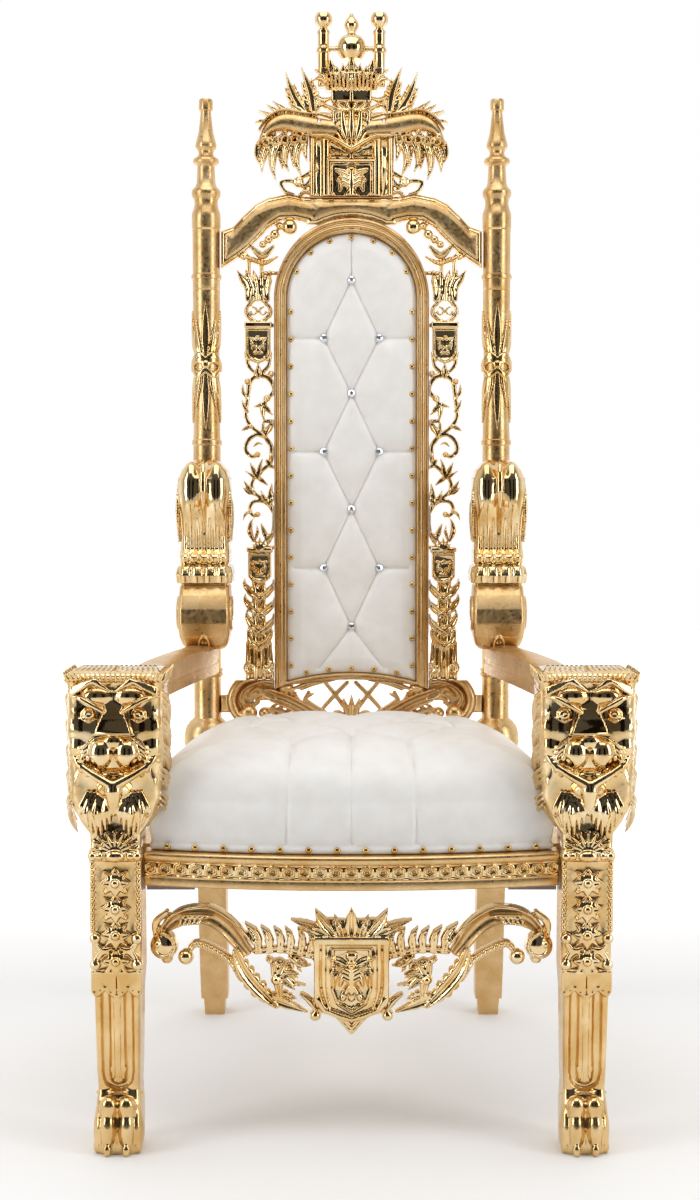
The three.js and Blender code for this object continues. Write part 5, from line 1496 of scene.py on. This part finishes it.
# %% Scroll brackets
scroll = new_clay(56, -96, 6, 694, 1040)
X, Y, Z = np.meshgrid(scroll["x"], scroll["y"], scroll["z"], indexing="ij")
OUTLINE = np.array([
    (698, 34, 52), (706, 40, 66), (722, 44, 80), (745, 45, 87), (770, 45, 86), (795, 44, 76), (812, 43,
        66), (816, 47, 74),
    (831, 48, 78), (846, 46, 72), (850, 44, 66), (862, 45, 72), (876, 43, 62), (900, 42, 66), (940, 43,
        76), (975, 45, 84),
    (1000, 44, 84), (1016, 39, 74), (1028, 28, 54), (1034, 18, 36),
])
half, reach = (np.interp(scroll["z"], OUTLINE[:, 0], OUTLINE[:, k]) for k in (1, 2))
soft = np.interp(scroll["z"], [698, 720, 812, 818, 850, 900, 1034], [16, 8, 8, 12, 12, 18, 20])
ox, oy = np.abs(X) - half + soft, -Y - reach + soft
scroll["field"] = soft - np.hypot(np.maximum(ox, 0), np.maximum(oy, 0)) - np.minimum(np.maximum(ox, oy), 0)
scroll["field"] = np.minimum(scroll["field"], np.minimum(-Y + 2, np.minimum(Z - 698, 1034 - Z)))
flute = sum(np.exp(-(((np.abs(X) - a) / w) ** 2)) for a, w in ((0, 3), (14, 2.6), (29, 2.6)))
flute = flute * np.clip((Z - 868) / 8, 0, 1) * np.clip((945 - Z) / 40, 0, 1)
parting = np.exp(-((X / 3.5) ** 2)) * np.clip((Z - 900) / 30, 0, 1)
scroll["field"] -= 4.5 * flute + 7 * parting
for low, high, start, width, tall, sunk in ((815, 848, 44, 22, 6, 3), (850, 868, 45, 18, 4, 2)):
    scallops = np.abs(np.sin(np.pi * (X + start) / width)) ** 0.5
    scroll["field"] += (scallops * tall - sunk) * ((Z > low) & (Z < high))
for z in (813.5, 848.5):
    scroll["field"] -= 4 * np.exp(-(((Z - z) / 1.8) ** 2))
egg(scroll, (22, -66, 978), (20, 24, 52), 6)
lock(scroll, [(0, -84, 950), (0, -88, 985), (0, -82, 1020), (0, -70, 1034)], [6, 13, 11, 2], 1)
egg(scroll, (0, -78, 712), (7, 12, 9), 1, hollow=True)
lock(scroll, [(9, -74, 704), (7, -82, 719), (0, -84, 724)], [4, 5, 5], 1.5)
for k in range(5):
    lock(scroll, [(44, -70 + 12 * k, 1000 - 10 * k), (47, -66 + 12 * k, 950), (45, -62 + 11 * k, 890)],
        [4, 7, 4], 1)
volute_side = [(46, -44 + 28 * math.cos(a), 762 + 28 * math.sin(a)) for a in np.linspace(-0.5, 4.6, 9)]
lock(scroll, volute_side, [4, 6, 7, 6], 1)
egg(scroll, (44, -44, 762), (6, 12, 12), 2)
points, faces = surface_net(scroll["field"], (scroll["x"][0], scroll["y"][0], scroll["z"][0]), (CLAY,) * 3)
centre = points[faces].mean(1)
drum = (centre[:, 2] < 812).astype(int)
for side, name in SIDES:
    lean_y = 268 + (points[:, 2] - 706) * math.tan(LEAN)
    place = np.column_stack([side * (points[:, 0] + POST_X - 2), lean_y + points[:, 1], points[:, 2]])
    made = add_piece("scroll_" + name, place * MM, faces if side > 0 else faces[:, ::-1], [polished, satin],
        drum)
    thin_out(made, 0.36)
    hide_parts("arm_" + name)
print("made both scroll brackets, the last with", len(made.data.polygons), "faces")

# %% [markdown]
# The seat is a deep crowned cushion, upholstered down to the rail. Folds run forward from the
# tufts, and the back edge of the crown is scalloped where the rear tufts pull it in.

# %% Seat cushion
SEAT_LOW, SEAT_CROWN = 449.6, 597
SEAT_CELL = 3.0
SEAT_FRONT, SEAT_BOW, SEAT_HALF, SEAT_REAR = -336, 38, 300, 248
axes = [np.arange(-330, 331, SEAT_CELL), np.arange(-384, 262, SEAT_CELL), np.arange(443, 606, SEAT_CELL)]
X, Y, Z = np.meshgrid(*axes, indexing="ij")


def seat_outline(x, y):
    """Distance inside the seat's plan: bowed front, notches at the front legs, waisted rear."""
    side_at = np.interp(y, [-345, -246, -236, -200, 0, 180, 246], [303, 304, 312, 312, 296, 262, 236])
    front_at = SEAT_FRONT - SEAT_BOW * (1 - (x / SEAT_HALF) ** 2)
    corners = np.minimum(side_at - np.abs(x), np.minimum(y - front_at, SEAT_REAR - y))
    return corners


plan = seat_outline(X[:, :, 0], Y[:, :, 0])
TUFTS = ((-88, -180), (88, -180), (0, -96), (-176, -30), (176, -30), (-88, 18), (88, 18), (0, 92),
    (-150, 150), (150, 150))
SEAT_FOLDS = (
    ((-88, -180), (-96, -384)), ((88, -180), (96, -384)), ((0, -96), (0, -384)), ((-88, -180),
        (0, -96)), ((88, -180), (0, -96)),
    ((0, -96), (-88, 18)), ((0, -96), (88, 18)), ((-88, -180), (-176, -30)), ((88, -180),
        (176, -30)), ((-176, -30), (-88, 18)),
    ((176, -30), (88, 18)), ((-88, 18), (0, 92)), ((88, 18), (0, 92)), ((-176, -30),
        (-150, 150)), ((176, -30), (150, 150)),
    ((0, 92), (0, 246)), ((-88, 18), (-150, 150)), ((88, 18), (150, 150)),
)
x2, y2 = X[:, :, 0], Y[:, :, 0]
tuft = np.min([np.hypot(x2 - x, y2 - y) for x, y in TUFTS], axis=0)
fold = np.min([to_line(x2, y2, a, b) for a, b in SEAT_FOLDS], axis=0)
shoulder = np.clip(plan / 150, 0, 1)
height = 60 + (SEAT_CROWN + 7 - SEAT_LOW - 60) * np.sqrt(1 - (1 - shoulder) ** 2)
height *= 1 - 0.16 * np.clip((y2 - 60) / 200, 0, 1) ** 2
height -= (9 * np.exp(-fold / 22) + 5.5 * np.exp(-((fold / 3.4) ** 2))) * np.clip(plan / 60, 0.25, 1)
height -= 15 * np.exp(-tuft / 13)
bulge = 9 * np.sin(np.pi * np.clip((Z - SEAT_LOW) / 75, 0, 1)) - 9 * np.clip((Z - 500) / 60, 0, 1) ** 2
side_fold = 4.5 * np.exp(-((fold / 3.4) ** 2))[:, :, None] * (Z > 462)
body = plan[:, :, None] - 10 + bulge * 0.8 - side_fold
top = (SEAT_LOW + height)[:, :, None] - Z
soft = 26     # width over which the crown rounds into the sides
field = np.minimum(body, top) - soft * np.maximum(0, 1 - np.abs(body - top) / soft) ** 2 / 4
field = np.minimum(field, Z - SEAT_LOW)
hem = np.minimum(plan[:, :, None] - 3.2, np.minimum(459.5 - Z, Z - SEAT_LOW))
field = np.maximum(field, hem)
print("shaped the seat on a grid of", field.shape)

# %% Seat piece and its nails
points, faces = surface_net(field, [c[0] for c in axes], (SEAT_CELL,) * 3)
made = add_piece("seat_pad", points * MM, faces, [leather])
bpy.context.view_layer.objects.active = made
calm = made.modifiers.new("smooth leather", "SMOOTH")
calm.factor, calm.iterations = 0.5, 3
bpy.ops.object.modifier_apply(modifier=calm.name)
thin_out(made, 0.36)
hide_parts("seat_cushion")
NAIL_PITCH, NAIL_Z, NAIL_BOW = 42, 456.2, 35.5
seat_spots = [
    (x * MM, (SEAT_FRONT - NAIL_BOW * (1 - (x / SEAT_HALF) ** 2)) * MM, NAIL_Z * MM)
    for x in range(-273, 274, NAIL_PITCH)
]
nail_row("seat_nails", seat_spots, (0, -1, 0.1))
print("made the seat pad with", len(seat_spots), "nails along its hem")

# %% [markdown]
# Solid nodes whose shape is right stay as they are and only get their finish.

# %% Finishes of the frame's own nodes
FINISH_OF = {
    "satin_gold": satin, "polished_gold": polished, "white_leather": leather,
    "crystal": crystal, "grey_board": grey_board,
}
for name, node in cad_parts.items():
    slots = [s.material.name.split(".")[0] for s in node.material_slots if s.material]
    chosen = next((FINISH_OF[s] for s in slots if s in FINISH_OF), satin)
    for s in node.material_slots:
        s.material = chosen
print("painted", len(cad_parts), "nodes")

# %% [markdown]
# The studio: a pale floor that glows of itself, a painted light that rises from nothing near the
# chair to full white towards the back, soft boxes above and at the sides, and two dark cards that
# only the gold sees, because bright metal needs something dark to mirror.

# %% Studio
GLOWING_PAPER = bpy.data.materials.new("glowing studio paper")
GLOWING_PAPER.use_nodes = True
paper = GLOWING_PAPER.node_tree
sheet = paper.nodes["Principled BSDF"]
set_inputs(sheet, Base_Color=colour("#FAFAFA"), Roughness=0.9, Emission_Color=(1, 1, 1, 1))
# The floor's glow is painted light: its emission strength runs from 0 near the chair to 1 far behind it.
where = add_node(paper, "ShaderNodeTexCoord").outputs["Object"]
along = add_node(paper, "ShaderNodeSeparateXYZ", [("Vector", where)])
far = add_node(
    paper, "ShaderNodeMapRange", [("Value", along.outputs["Y"])],
    From_Min=-1.5, From_Max=1.5, To_Min=0.0, To_Max=1.0,
)
paper.links.new(far.outputs["Result"], sheet.inputs["Emission Strength"])
bpy.ops.mesh.primitive_plane_add(size=14, location=(0, 2, 0))
floor = bpy.context.object
floor.name = "floor"
floor.data.materials.append(GLOWING_PAPER)
floor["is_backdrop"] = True


def soft_box(name, place, aim, width, height, power):
    bpy.ops.object.light_add(type="AREA", location=place)
    lamp = bpy.context.object
    lamp.name = name
    lamp.data.shape = "RECTANGLE"
    lamp.data.size, lamp.data.size_y, lamp.data.energy = width, height, power
    lamp.rotation_euler = (Vector(aim) - Vector(place)).to_track_quat("-Z", "Y").to_euler()


soft_box("top box", (0, -0.9, 3.4), (0, 0, 0.8), 3.0, 2.2, 38)
soft_box("left box", (-2.6, -1.4, 1.6), (0, 0, 0.9), 0.9, 2.6, 28)
soft_box("right box", (2.6, -1.4, 1.6), (0, 0, 0.9), 0.9, 2.6, 28)


def dark_card(name, place, aim, width, height):
    bpy.ops.mesh.primitive_plane_add(size=1, location=place)
    card = bpy.context.object
    card.name = name
    card.scale = (width, height, 1)
    card.rotation_euler = (Vector(aim) - Vector(place)).to_track_quat("Z", "Y").to_euler()
    card.data.materials.append(DARK)
    card.visible_camera = card.visible_diffuse = card.visible_shadow = False
    card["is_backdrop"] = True


DARK = bpy.data.materials.new("black felt")
DARK.use_nodes = True
set_inputs(DARK.node_tree.nodes["Principled BSDF"], Base_Color=colour("#14100C"), Roughness=1.0,
    Specular_IOR_Level=0.0)
dark_card("left dark card", (-1.3, -3.6, 1.2), (0, 0, 1.0), 1.1, 3.0)
dark_card("right dark card", (1.3, -3.6, 1.2), (0, 0, 1.0), 1.1, 3.0)
print("set up the floor, three soft boxes and two dark cards")

# %% World light
bpy.context.scene.view_settings.view_transform = "Standard"
world = bpy.data.worlds.new("studio air")
bpy.context.scene.world = world
world.use_nodes = True
tree = world.node_tree
sky = tree.nodes["Background"]
way = add_node(tree, "ShaderNodeTexCoord").outputs["Generated"]
split = add_node(tree, "ShaderNodeSeparateXYZ", [("Vector", way)])
glow = add_node(
    tree, "ShaderNodeMapRange", [("Value", split.outputs["Y"])],
    From_Min=-0.5, From_Max=0.3, To_Min=0.08, To_Max=1.0,
)
tree.links.new(glow.outputs["Result"], sky.inputs["Strength"])
sky.inputs["Color"].default_value = (1, 1, 1, 1)
print("lit the studio air")

# %% [markdown]
# Last, the size of the dressed chair is printed.

# %% Sizes and finish
low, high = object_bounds()
print("dressed chair is", [round(v, 3) for v in high - low], "m")
